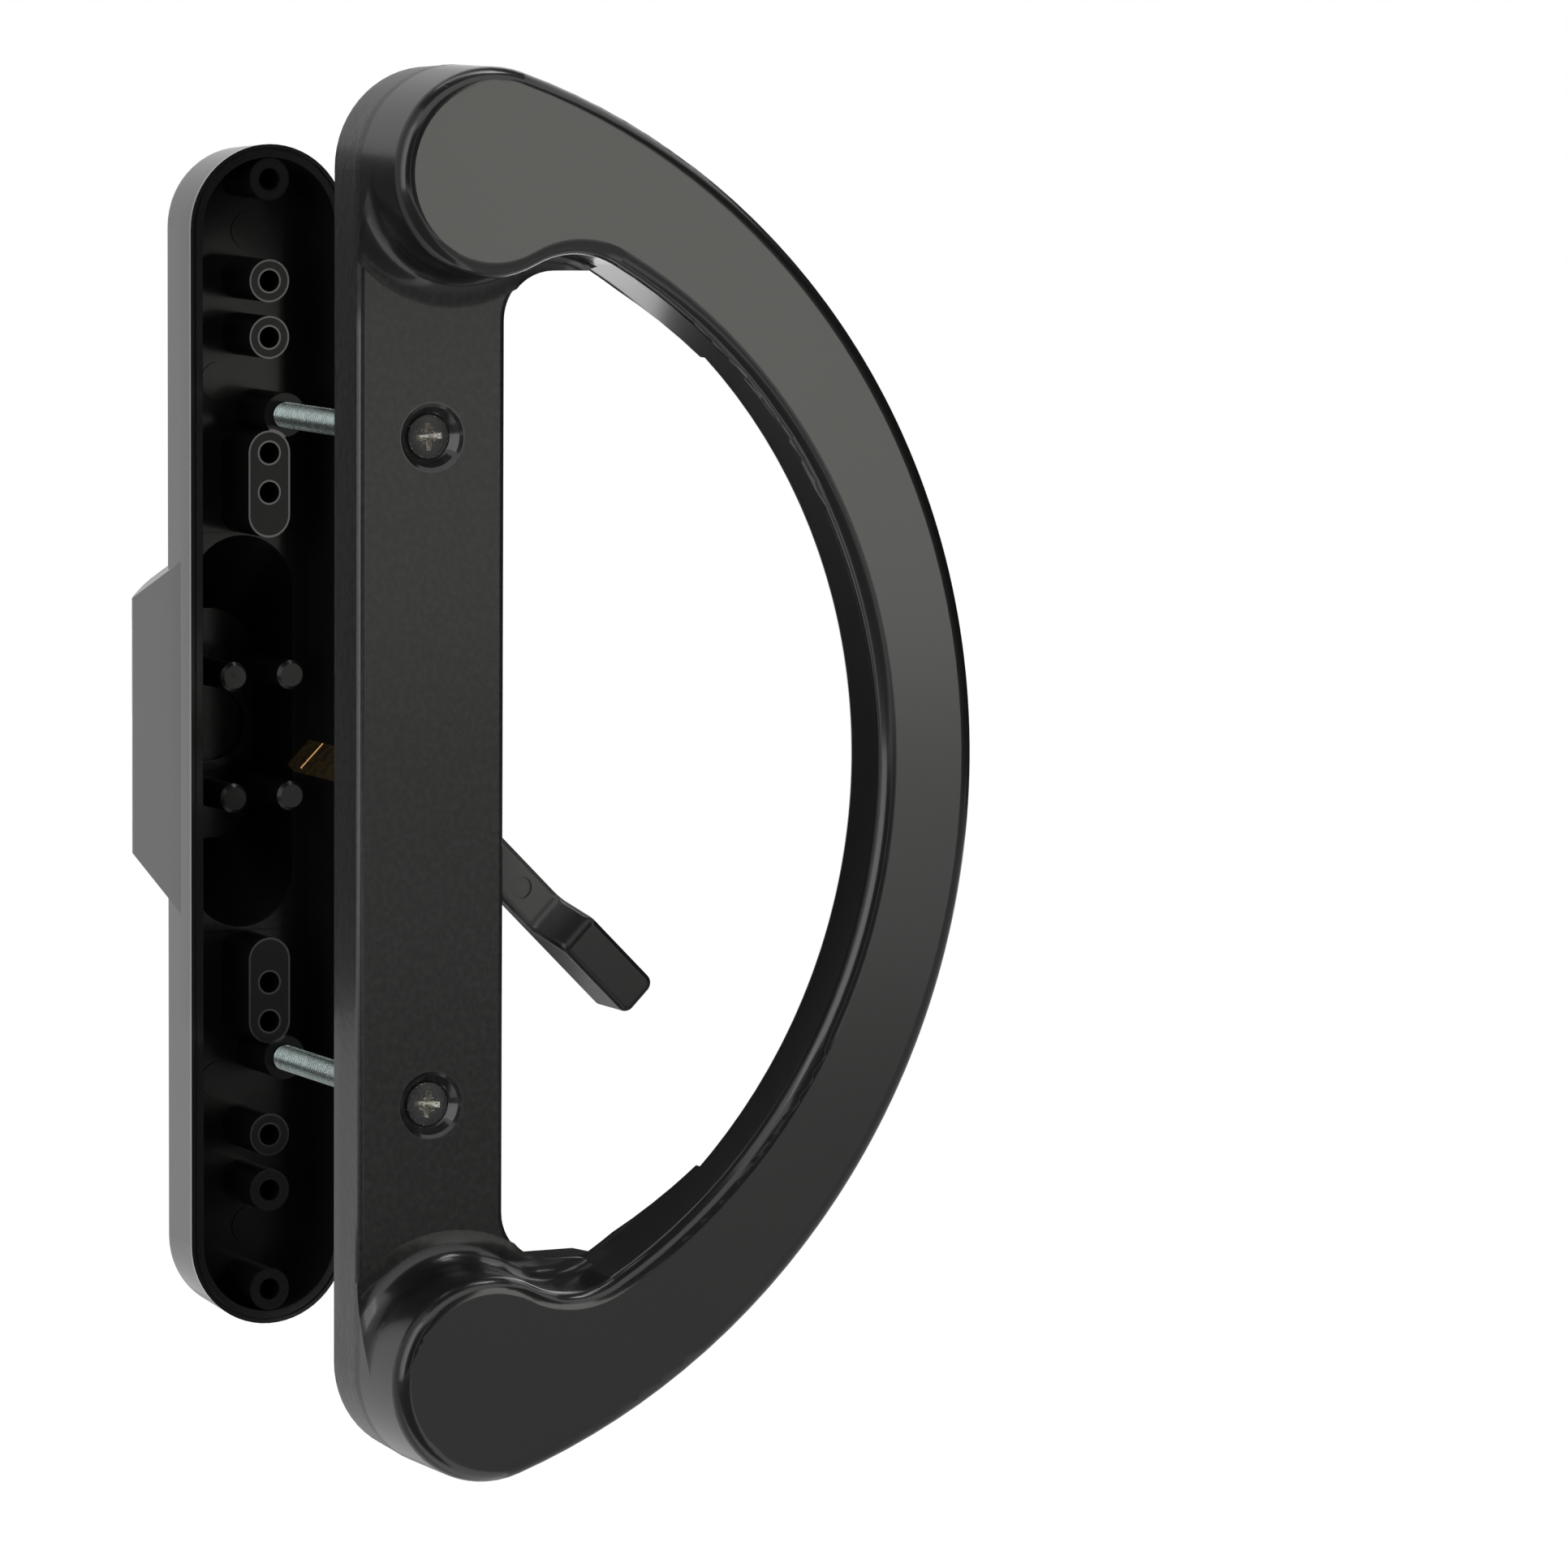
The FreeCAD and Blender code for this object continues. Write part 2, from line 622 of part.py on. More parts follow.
hollow = front_sketch(pull, "back_hollow", "face_wall")
inner_half = "base_width / 2 - side_wall"
add_rectangle(hollow, f"-({inner_half})", inner_half, "-pad_height", "pad_height")
pocket(pull, hollow, "base_depth - face_wall")
for side, minus in (("top", ""), ("low", "-")):
    core = front_sketch(pull, f"pad_core_{side}", "pad_front_wall - grip_rise")
    add_circle(core, pad_centre, minus + "pad_height", "pad_core_radius")
    pocket(pull, core, "grip_rise - pad_front_wall + base_depth")
bosses = front_sketch(pull, "screw_bosses", "face_wall / 2")
for minus in ("", "-"):
    add_circle(bosses, "0", minus + "screw_spacing / 2", "boss_diameter / 2")
pad(pull, bosses, "base_depth - face_wall / 2")
ribs = front_sketch(pull, "cross_ribs", "face_wall / 2")
for height in ("inner_rib_height", "outer_rib_height"):
    for minus in ("", "-"):
        middle = f"{minus}{height}"
        add_rectangle(ribs, f"-({inner_half}) - side_wall / 2", f"{inner_half} + side_wall / 2",
                      f"{middle} - rib_thickness / 2", f"{middle} + rib_thickness / 2")
pad(pull, ribs, "base_depth - face_wall / 2 - rib_inset")
posts = front_sketch(pull, "keeper_posts", "face_wall / 2")
plate_front = "face_wall + arm_gap + arm_thickness + washer_height"
for minus in ("", "-"):
    add_circle(posts, "0", f"{minus}keeper_pitch / 2 - latch_drop", "keeper_post_diameter / 2")
pad(pull, posts, f"{plate_front} - face_wall / 2")
keeper_end = f"{plate_front} + plate_thickness - keeper_length"
keeper_hole = "keeper_diameter / 2 + thread_slack"
keeper_holes = front_sketch(pull, "keeper_holes", f"{keeper_end} - thread_slack")
for minus in ("", "-"):
    add_circle(keeper_holes, "0", f"{minus}keeper_pitch / 2 - latch_drop", keeper_hole)
pocket(pull, keeper_holes, "base_depth")
swing_half = "(base_width / 2 + arm_width / sqrt(2)) + slot_margin"
gate = front_sketch(pull, "latch_gate", "face_wall")
add_rectangle(gate, "base_width / 2 - side_wall - cut_margin", "base_width / 2 + cut_margin",
              f"-({swing_half}) - latch_drop", f"{swing_half} - latch_drop")
pocket(pull, gate, "base_depth - face_wall")
pivot = front_sketch(pull, "pivot_hole", "face_wall + arm_gap - pivot_length - thread_slack")
add_circle(pivot, "0", "-latch_drop", "pivot_radius + pivot_slack")
pocket(pull, pivot, "pivot_length")
head_top = "screw_head_sink"
for side, minus in (("top", ""), ("low", "-")):
    seat = new_sketch(pull, f"screw_seat_{side}", "YZ_Plane")
    bind(seat, "AttachmentOffset.Base.y", minus + "screw_spacing / 2")
    head = "screw_head_diameter / 2 + thread_slack"
    shank = "screw_diameter / 2 + screw_slack"
    add_polygon(seat, [
        ("-cut_margin", "0"),
        ("-cut_margin", "recess_diameter / 2"),
        ("0", "recess_diameter / 2"),
        ("recess_lip_depth", "recess_diameter / 2 - recess_lip_inset"),
        ("screw_head_sink", f"{head} + recess_floor_gap"),
        (f"{head_top} + screw_rim_height", head),
        (f"{head_top} + screw_rim_height + ({head}) - ({shank})", shank),
        ("base_depth + cut_margin", shank),
        ("base_depth + cut_margin", "0"),
    ])
    doc.recompute()
    groove = pull.newObject("PartDesign::Groove", f"screw_hole_{side}")
    groove.Profile = seat
    groove.ReferenceAxis = (seat, ["H_Axis"])
    groove.Angle = 360
    doc.recompute()


def turned(label, height, profile):
    """A round piece turned about an axis through the door at the given height."""
    body = new_body(label)
    sketch = new_sketch(body, label + "_profile", "YZ_Plane")
    bind(sketch, "AttachmentOffset.Base.y", height)
    add_polygon(sketch, profile)
    doc.recompute()
    feature = body.newObject("PartDesign::Revolution", label + "_turned")
    feature.Profile = sketch
    feature.ReferenceAxis = (sketch, ["H_Axis"])
    feature.Angle = 360
    doc.recompute()
    return body


def cross_drive(body, name, height, depth, reach, slot):
    """The outline of the cross-shaped recess in a screw head."""
    sketch = front_sketch(body, name, depth)
    arm, half = f"({reach}) / 2", f"({slot}) / 2"
    corners = []
    for sign_x, sign_z in ((1, 1), (-1, 1), (-1, -1), (1, -1)):
        side, rise = f"{sign_x} * {half}", f"{sign_z} * {half}"
        end_x, end_z = f"{sign_x} * {arm}", f"{sign_z} * {arm}"
        trio = [(end_x, rise), (side, rise), (side, end_z)]
        corners += trio if sign_x == sign_z else trio[::-1]
    add_polygon(sketch, [(x, f"{height} + {z}") for x, z in corners])
    return sketch


def group(label, members):
    """Like pieces that share one name."""
    compound = doc.addObject("Part::Compound", label)
    compound.Label = label
    compound.Links = members
    return compound


# Through screws, sunk in the inside base and threaded into the outside pull.

screw_tip = "base_depth + door_thickness + screw_reach"
screws = []
for side, minus in (("upper", ""), ("lower", "-")):
    height = minus + "screw_spacing / 2"
    head, shank = "screw_head_diameter / 2", "screw_diameter / 2"
    screw = turned(f"mounting_screw_{side}", height, [
        (head_top, "0"),
        (head_top, f"{head} - screw_rim_inset"),
        (f"{head_top} + screw_rim_height", head),
        (f"{head_top} + screw_rim_height + ({head}) - ({shank})", shank),
        (f"{screw_tip} - screw_tip_length", shank),
        (screw_tip, f"{shank} - screw_tip_inset"),
        (screw_tip, "0"),
    ])
    drive = cross_drive(screw, f"screw_drive_{side}", height, head_top, "drive_width", "drive_slot")
    pocket(screw, drive, "drive_depth")
    screws.append(screw)
mounting_screws = group("mounting_screws", screws)

# Thumb latch: drawn along X about its pivot, then turned to its rest angle.

arm_front = "face_wall + arm_gap"
arm_back = "face_wall + arm_gap + arm_thickness"
thumb_front = "face_wall + arm_gap - thumb_rise"
latch = new_body("latch_lever")
arm = new_sketch(latch, "latch_profile", "XY_Plane")
add_polygon(arm, [
    ("0", arm_back), ("0", arm_front), ("arm_length", arm_front), ("arm_length + ramp_length", thumb_front),
    ("latch_length", thumb_front), ("latch_length", arm_back),
])
arm_pad = pad(latch, arm, "arm_width")
arm_pad.Midplane = True
tip = value("latch_length")


def upright(edge, x):
    box = edge.BoundBox
    return abs(box.XMin - x) + abs(box.XMax - x) + box.ZLength < 1e-4


def across(edge, x, y):
    box = edge.BoundBox
    return abs(box.XMin - x) + abs(box.XMax - x) + abs(box.YMin - y) + abs(box.YMax - y) < 1e-4


bends = [(value("arm_length"), value(arm_front)), (value("arm_length + ramp_length"), value(thumb_front))]
round_edges(latch, "thumb_corners", "thumb_corner_radius", lambda edge: upright(edge, tip))
round_edges(latch, "thumb_bends", "bend_radius", lambda edge: any(across(edge, *bend) for bend in bends))
thumb_y = value(thumb_front)
round_edges(latch, "thumb_edges", "thumb_edge_radius", lambda edge: in_depth_plane(edge, thumb_y)
            and not edge.BoundBox.XMax < value("arm_length + ramp_length + bend_radius * 1.5"))
hub = front_sketch(latch, "hub", arm_front)
add_circle(hub, "0", "0", "hub_radius")
pad(latch, hub, "arm_thickness")
spindle = front_sketch(latch, "spindle", arm_front)
add_circle(spindle, "0", "0", "pivot_radius")
pad(latch, spindle, "pivot_length", away=False)
stem = front_sketch(latch, "stem", arm_back)
add_circle(stem, "0", "0", "stem_radius")
pad(latch, stem, "stem_length")
tail_slot = front_sketch(latch, "tail_slot", "tail_seat")
half_thick, half_wide = "tail_thickness / 2 + tail_slack", "tail_width / 2 + tail_slack"
add_rectangle(tail_slot, f"-({half_thick})", half_thick, f"-({half_wide})", half_wide)
pocket(latch, tail_slot, "base_depth")
dimple = front_sketch(latch, "dimple", arm_front)
add_circle(dimple, "dimple_place", "0", "dimple_diameter / 2")
pocket(latch, dimple, "dimple_depth")

# Tailpiece: a flat brass blade held in the latch stem and turned with it.

tail = new_body("tailpiece")
blade = front_sketch(tail, "blade", "tail_seat")
add_rectangle(blade, "-tail_thickness / 2", "tail_thickness / 2", "-tail_width / 2", "tail_width / 2")
tail_end = "base_depth + door_thickness - tail_stop"
pad(tail, blade, f"{tail_end} - tail_seat")
for side, minus in (("right", ""), ("left", "-")):
    score = new_sketch(tail, f"score_{side}", "XY_Plane", "-tail_width")
    middle = f"{tail_end} - score_place"
    face = f"{minus}(tail_thickness / 2)"
    root = f"{minus}(tail_thickness / 2 - score_depth)"
    near, far = f"{middle} - score_width / 2", f"{middle} + score_width / 2"
    add_polygon(score, [(face, near), (face, far), (root, middle)])
    pocket(tail, score, "2 * tail_width", away=False)

# Latch retainer: plate, spring washer and two small screws behind the latch hub.

washer = turned("spring_washer", "-latch_drop", [
    (arm_back, "washer_radius"),
    (f"{arm_back} + washer_thickness", "washer_radius"),
    (plate_front, "stem_radius + pivot_slack + washer_slack"),
    (f"{plate_front} - washer_thickness", "stem_radius + pivot_slack + washer_slack"),
])
plate = new_body("retainer_plate")
plate_sketch = front_sketch(plate, "plate_outline", plate_front)
add_rectangle(plate_sketch, "-plate_width / 2", "plate_width / 2",
              "-plate_length / 2 - latch_drop", "plate_length / 2 - latch_drop")
add_circle(plate_sketch, "0", "-latch_drop", "stem_radius + pivot_slack")
for minus in ("", "-"):
    add_circle(plate_sketch, "0", f"{minus}keeper_pitch / 2 - latch_drop", keeper_hole)
pad(plate, plate_sketch, "plate_thickness")
half_plate = value("plate_width / 2")
round_edges(plate, "plate_corners", "plate_corner_radius",
            lambda edge: abs(abs(edge.BoundBox.Center.x) - half_plate) + edge.BoundBox.ZLength < 1e-4)
plate_back = f"{plate_front} + plate_thickness"
keepers = []
for side, minus in (("upper", ""), ("lower", "-")):
    height = f"{minus}keeper_pitch / 2 - latch_drop"
    head, shank = "keeper_head_diameter / 2", "keeper_diameter / 2"
    keeper = turned(f"retainer_screw_{side}", height, [
        (f"{plate_back} - keeper_length", "0"),
        (f"{plate_back} - keeper_length", f"{shank} - keeper_tip_inset"),
        (f"{plate_back} - keeper_length + keeper_tip_length", shank),
        (plate_back, shank),
        (plate_back, head),
        (f"{plate_back} + keeper_rim_height", head),
        (f"{plate_back} + keeper_head_height", f"{head} - keeper_crown_inset"),
        (f"{plate_back} + keeper_head_height", "0"),
    ])
    drive = cross_drive(keeper, f"keeper_drive_{side}", height, f"{plate_back} + keeper_head_height",
                        "keeper_drive_width", "keeper_drive_slot")
    pocket(keeper, drive, "keeper_drive_depth", away=False)
    keepers.append(keeper)
retainer_screws = group("retainer_screws", keepers)

# Outside pull: a hollow casting, open towards the door, with a finger block on its far side.

rim = "base_depth + door_thickness"
shell_x = "-shell_offset"
shell_radius = "shell_width / 2"
shell_end = "shell_length / 2 - shell_width / 2"
shell = new_body("exterior_pull")
stadium = front_sketch(shell, "shell_outline", rim)
add_slot(stadium, shell_x, f"-({shell_end})", shell_end, shell_radius)
shell_pad = pad(shell, stadium, "shell_depth")
bind(shell_pad, "TaperAngle", "-shell_draft")
shell_back = value(f"{rim} + shell_depth")
round_edges(shell, "shell_edges", "shell_edge_radius", lambda edge: in_depth_plane(edge, shell_back))


def draw_finger(sketch, half_width, half_side, bulge):
    """Two straight sides joined by two bowed ends."""
    wide, side, bow = value(half_width), value(half_side), value(bulge)
    middle = value(shell_x)
    radius = (wide**2 + bow**2) / (2 * bow)
    right, left = Vector(middle + wide, side, 0), Vector(middle - wide, side, 0)
    centre = Vector(middle, side + bow - radius, 0)
    sketch.addGeometry(Part.LineSegment(flipped(right), right), False)
    sketch.addGeometry(arc_between(centre, right, left), False)
    sketch.addGeometry(Part.LineSegment(left, flipped(left)), False)
    sketch.addGeometry(arc_between(flipped(centre), flipped(left), flipped(right)), False)
    for index in range(4):
        sketch.addConstraint(Sketcher.Constraint("Coincident", index, 2, (index + 1) % 4, 1))
    place(sketch, 0, 1, f"{shell_x} + {half_width}", f"-({half_side})")
    place(sketch, 1, 1, f"{shell_x} + {half_width}", half_side)
    place(sketch, 2, 1, f"{shell_x} - ({half_width})", half_side)
    place(sketch, 3, 1, f"{shell_x} - ({half_width})", f"-({half_side})")
    for index in (1, 3):
        dimension(sketch, "Radius", (index,), f"(({half_width})^2 + ({bulge})^2) / (2 * ({bulge}))")


root = front_sketch(shell, "finger_root", f"{rim} + shell_depth / 3")
finger_half = "(shell_width / 2 - finger_side_inset)"
draw_finger(root, finger_half, "finger_side_length / 2 + finger_root_run", "finger_end_bulge")
crest = front_sketch(shell, "finger_crest", f"{rim} + shell_depth + finger_rise")
draw_finger(crest, f"({finger_half} - finger_side_draft)", "finger_side_length / 2 - finger_end_slope",
            "finger_end_bulge")
doc.recompute()
finger = shell.newObject("PartDesign::AdditiveLoft", "finger_block")
finger.Profile = root
finger.Sections = [crest]
finger.Ruled = True
doc.recompute()
finger_back = value(f"{rim} + shell_depth + finger_rise")
round_edges(shell, "finger_edges", "finger_edge_radius", lambda edge: in_depth_plane(edge, finger_back))
floor = "shell_depth - shell_wall"
inside = front_sketch(shell, "shell_hollow", rim)
add_slot(inside, shell_x, f"-({shell_end})", shell_end, "shell_width / 2 - shell_wall")
pocket(shell, inside, floor)
groove = front_sketch(shell, "rim_groove", rim)
for inset in ("rim_groove_inset", "(rim_groove_inset + rim_groove_width)"):
    add_slot(groove, shell_x, f"-({shell_end})", shell_end, f"shell_width / 2 - {inset}")
pocket(shell, groove, "rim_groove_depth")
mouth = front_sketch(shell, "cavity_mouth", f"{rim} + {floor} - cavity_overlap")
add_slot(mouth, shell_x, "cavity_half_width - cavity_half_length", "cavity_half_length - cavity_half_width",
         "cavity_half_width")
well = front_sketch(shell, "cavity_floor", f"{rim} + shell_depth + finger_rise - finger_wall")
well_half = "cavity_half_length - cavity_half_width - cavity_end_slope + cavity_side_draft"
add_slot(well, shell_x, f"-({well_half})", well_half, "cavity_half_width - cavity_side_draft")
doc.recompute()
cavity = shell.newObject("PartDesign::SubtractiveLoft", "finger_cavity")
cavity.Profile = mouth
cavity.Sections = [well]
cavity.Ruled = True
doc.recompute()
ring_bosses = front_sketch(shell, "ring_bosses", rim)
places = ("boss_place_far", "boss_place_middle", "boss_place_near")
for spot in places:
    for minus in ("", "-"):
        add_circle(ring_bosses, shell_x, minus + spot, "ring_boss_diameter / 2")
pad(shell, ring_bosses, f"{floor} + shell_wall / 2")
long_bosses = front_sketch(shell, "long_bosses", rim)
long_low = "cavity_half_length + long_boss_width / 2 + long_boss_gap"
add_slot(long_bosses, shell_x, long_low, "long_boss_outer", "long_boss_width / 2")
add_slot(long_bosses, shell_x, "-long_boss_outer", f"-({long_low})", "long_boss_width / 2")
pad(shell, long_bosses, f"{floor} + shell_wall / 2")
screw_bosses = front_sketch(shell, "threaded_bosses", rim)
for minus in ("", "-"):
    add_circle(screw_bosses, "0", minus + "screw_spacing / 2", "screw_boss_diameter / 2")
pad(shell, screw_bosses, f"{floor} + shell_wall / 2")
boss_holes = front_sketch(shell, "boss_holes", rim)
for spot in places + ("long_boss_outer", "long_boss_inner"):
    for minus in ("", "-"):
        add_circle(boss_holes, shell_x, minus + spot, "ring_boss_hole / 2")
pocket(shell, boss_holes, "ring_hole_depth")
threads = front_sketch(shell, "threaded_holes", rim)
for minus in ("", "-"):
    add_circle(threads, "0", minus + "screw_spacing / 2", "screw_diameter / 2 + thread_slack")
pocket(shell, threads, "screw_reach + screw_end_room")
stand = front_sketch(shell, "stand_posts", f"{rim} + post_shortfall")
for minus_x in ("", "-"):
    for minus_z in ("", "-"):
        add_circle(stand, f"{shell_x} + {minus_x}(post_spacing_x / 2)", f"{minus_z}post_spacing_z / 2",
                   "post_diameter / 2")
pad(shell, stand, "shell_depth + finger_rise - finger_wall / 2 - post_shortfall")
post_top = value(f"{rim} + post_shortfall")
bevel_edges(shell, "post_edges", "post_edge_chamfer", lambda edge: in_depth_plane(edge, post_top))
ejectors = front_sketch(shell, "ejector_marks", f"{rim} + {floor} - ejector_height")
for x_text, z_text in (("ejector_far_x", "ejector_far_z"), ("-ejector_near_x", "ejector_near_z")):
    for minus in ("", "-"):
        add_circle(ejectors, f"{shell_x} + {x_text}", minus + z_text, "ejector_radius")
pad(shell, ejectors, "ejector_height + shell_wall / 2")
well_floor = f"{rim} + shell_depth + finger_rise - finger_wall"
knockout = front_sketch(shell, "knockout_ring", f"{well_floor} - knockout_height")
add_circle(knockout, shell_x, "0", "knockout_radius")
add_circle(knockout, shell_x, "0", "knockout_radius - knockout_wall")
pad(shell, knockout, "knockout_height + finger_wall / 2")

# The set is placed so that the origin lies on the inside face of the door.

for item in (latch, tail):
    turn = FreeCAD.Rotation(Vector(0, 1, 0), value("latch_rest_angle"))
    item.Placement = FreeCAD.Placement(Vector(0, 0, 0), turn)
    bind(item, "Placement.Base.z", "-latch_drop")
singles = [pull, latch, tail, washer, plate, shell]
for item in singles + screws + keepers:
    bind(item, "Placement.Base.y", "-base_depth")
doc.recompute()

for item in doc.Objects:
    if "Invalid" in item.State or "Error" in item.State:
        raise ValueError(item.Name + " did not build")
os.makedirs("parts", exist_ok=True)
for item in singles + [mounting_screws, retainer_screws]:
    if item.Shape.isNull() or not item.Shape.isValid():
        raise ValueError(item.Label + " is not a sound solid")
    item.Shape.exportStep(f"parts/{item.Label}.step")
    print(item.Label, len(item.Shape.Solids), round(item.Shape.Volume))
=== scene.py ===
import math
import bmesh
import bpy
from mathutils import Matrix, Vector


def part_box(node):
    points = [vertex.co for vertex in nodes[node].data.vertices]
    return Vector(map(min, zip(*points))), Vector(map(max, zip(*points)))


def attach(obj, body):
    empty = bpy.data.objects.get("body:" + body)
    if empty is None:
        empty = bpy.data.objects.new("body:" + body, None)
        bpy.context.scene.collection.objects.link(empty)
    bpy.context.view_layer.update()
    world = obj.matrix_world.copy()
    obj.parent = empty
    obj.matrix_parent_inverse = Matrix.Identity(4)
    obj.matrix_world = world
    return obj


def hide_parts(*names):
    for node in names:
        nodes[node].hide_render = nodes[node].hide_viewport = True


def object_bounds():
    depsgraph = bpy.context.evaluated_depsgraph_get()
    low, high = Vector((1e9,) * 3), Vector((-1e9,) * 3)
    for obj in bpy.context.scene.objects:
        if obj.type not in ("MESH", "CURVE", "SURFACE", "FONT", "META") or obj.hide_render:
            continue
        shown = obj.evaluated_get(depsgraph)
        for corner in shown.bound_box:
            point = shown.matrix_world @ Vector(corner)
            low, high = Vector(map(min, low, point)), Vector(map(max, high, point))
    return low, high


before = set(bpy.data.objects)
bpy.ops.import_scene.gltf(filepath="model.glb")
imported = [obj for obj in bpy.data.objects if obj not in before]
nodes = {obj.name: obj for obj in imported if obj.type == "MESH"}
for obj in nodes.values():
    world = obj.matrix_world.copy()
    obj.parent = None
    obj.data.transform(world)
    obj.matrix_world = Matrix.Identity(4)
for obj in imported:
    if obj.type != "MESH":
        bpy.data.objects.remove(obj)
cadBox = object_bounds()
mm = 0.001                                   # sizes below are in millimetres
noiseMiddle = 0.5                            # noise runs from 0 to 1
print("frame loaded:", ", ".join(sorted(nodes)))


# shader maths

class Wire:                                  # a socket that takes part in plain sums
    def __init__(self, graph, socket):
        self.graph = graph
        self.socket = socket

    def sum(self, operation, first, second):
        return self.graph.node("ShaderNodeMath", {"operation": operation}, {0: first, 1: second})

    def __add__(self, other):
        return self.sum("ADD", self, other)

    def __radd__(self, other):
        return self.sum("ADD", other, self)

    def __sub__(self, other):
        return self.sum("SUBTRACT", self, other)

    def __rsub__(self, other):
        return self.sum("SUBTRACT", other, self)

    def __mul__(self, other):
        return self.sum("MULTIPLY", self, other)

    def __rmul__(self, other):
        return self.sum("MULTIPLY", other, self)

    def __pow__(self, other):
        return self.sum("POWER", self, other)

    def __abs__(self):
        return self.sum("ABSOLUTE", self, 0.0)


class Graph:                                 # the nodes of a material or of the surroundings
    def __init__(self, tree):
        self.tree = tree
        self.tree.nodes.clear()

    def node(self, kind, settings=None, values=None, output=0):
        made = self.tree.nodes.new(kind)
        for key, setting in (settings or {}).items():
            setattr(made, key, setting)
        for key, value in (values or {}).items():
            if isinstance(value, Wire):
                self.tree.links.new(value.socket, made.inputs[key])
            else:
                made.inputs[key].default_value = value
        return Wire(self, made.outputs[output]) if made.outputs else None

    def seenDirectly(self):                  # 1 for rays from the camera or a shiny surface, else 0
        rays = self.node("ShaderNodeLightPath", output="Is Camera Ray")
        for ray in ("Is Glossy Ray", "Is Transmission Ray"):
            rays = rays.sum("MAXIMUM", rays, self.node("ShaderNodeLightPath", output=ray))
        return rays


class Finish(Graph):                         # one material
    def __init__(self, name):
        self.material = bpy.data.materials.new(name)
        self.material.use_nodes = True
        super().__init__(self.material.node_tree)
        self.place = self.node("ShaderNodeTexCoord", output="Object")

    def grain(self, size, detail, stretch=None):         # noise with features of about this size in mm
        place = self.place
        if stretch:
            place = self.node("ShaderNodeVectorMath", {"operation": "MULTIPLY"}, {0: place, 1: stretch})
        values = {"Vector": place, "Scale": 1.0 / (size * mm), "Detail": detail}
        return self.node("ShaderNodeTexNoise", {}, values)

    def cells(self, size):                   # distance to the nearest of scattered points
        values = {"Vector": self.place, "Scale": 1.0 / (size * mm)}
        return self.node("ShaderNodeTexVoronoi", {}, values, "Distance")

    def step(self, value, low, high):        # 0 below low, 1 above high, smooth between
        values = {"Value": value, "From Min": low, "From Max": high}
        return self.node("ShaderNodeMapRange", {"interpolation_type": "SMOOTHSTEP"}, values)

    def ramp(self, value, places):           # the same between two places in mm
        return self.step(value, *(place * mm for place in places))

    def past(self, value, fade):             # the value where it is above 0, else 0
        return value * self.ramp(value, (0.0, fade))

    def blend(self, amount, first, second):  # two colours
        values = {0: amount, 6: first, 7: second}
        return self.node("ShaderNodeMix", {"data_type": "RGBA"}, values, 2)

    def axis(self, name):                    # the surface point's own X, Y or Z, in metres
        return self.node("ShaderNodeSeparateXYZ", {}, {"Vector": self.place}, name)

    def bump(self, height, depth):           # depth in mm for a height from 0 to 1
        return self.node("ShaderNodeBump", {}, {"Height": height, "Distance": depth * mm, "Strength": 1.0})

    def coat(self, values):                  # the surface itself
        return self.show(self.node("ShaderNodeBsdfPrincipled", {}, values))

    def show(self, shader):
        self.node("ShaderNodeOutputMaterial", {}, {"Surface": shader})
        return self.material


def reachOf(first, second):                  # distance from an axis
    return (first * first + second * second) ** 0.5


def dress(piece, material):
    piece.data.materials.clear()
    piece.data.materials.append(material)


def smooth(piece, angle=35.0):
    for face in piece.data.polygons:
        face.use_smooth = True
    piece.data.set_sharp_from_angle(angle=math.radians(angle))


def screwSpots():                            # both axes, head and tip depths and head radius, from the solids
    low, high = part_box("mounting_screws")
    radius = max(abs(low.x), abs(high.x))
    axes = (high.z - radius, low.z + radius)
    return axes, low.y, high.y, radius


# black paint on the castings

paint = {
    "dark": (0.0050, 0.0050, 0.0052, 1), "light": (0.0085, 0.0085, 0.0082, 1),
    "roughness": 0.34, "roughnessSpread": 0.08, "specular": 0.25, "glossRoughness": 0.13,
    "peelSize": 1.1, "peelDetail": 2.0, "peelDepth": 0.012,  # soft waves of the sprayed coat
    "fineSize": 0.32, "fineDetail": 1.0, "fineDepth": 0.003,
    "pitSize": 9.0, "pitDepth": 0.04, "pitRange": (0.01, 0.045),
    "cloudSize": 38.0, "cloudDetail": 3.0,
}


class Paint(Finish):                         # thin paint, with a gloss that can be masked
    def __init__(self, name):
        super().__init__(name)
        cloud = self.grain(paint["cloudSize"], paint["cloudDetail"])
        fine = self.grain(paint["fineSize"], paint["fineDetail"])
        peel = self.grain(paint["peelSize"], paint["peelDetail"])
        pits = 1 - self.step(self.cells(paint["pitSize"]), *paint["pitRange"])
        self.height = peel * paint["peelDepth"] + fine * paint["fineDepth"] - pits * paint["pitDepth"]
        self.rough = paint["roughness"] + (cloud - noiseMiddle) * paint["roughnessSpread"]
        self.gloss = 1.0
        self.colour = self.blend(cloud, paint["dark"], paint["light"])

    def spray(self):
        return self.coat({
            "Base Color": self.colour, "Roughness": self.rough,
            "Specular IOR Level": paint["specular"],
            "Coat Weight": self.gloss, "Coat Roughness": paint["glossRoughness"],
            "Normal": self.bump(self.height, 1.0),           # the heights are in mm already
        })


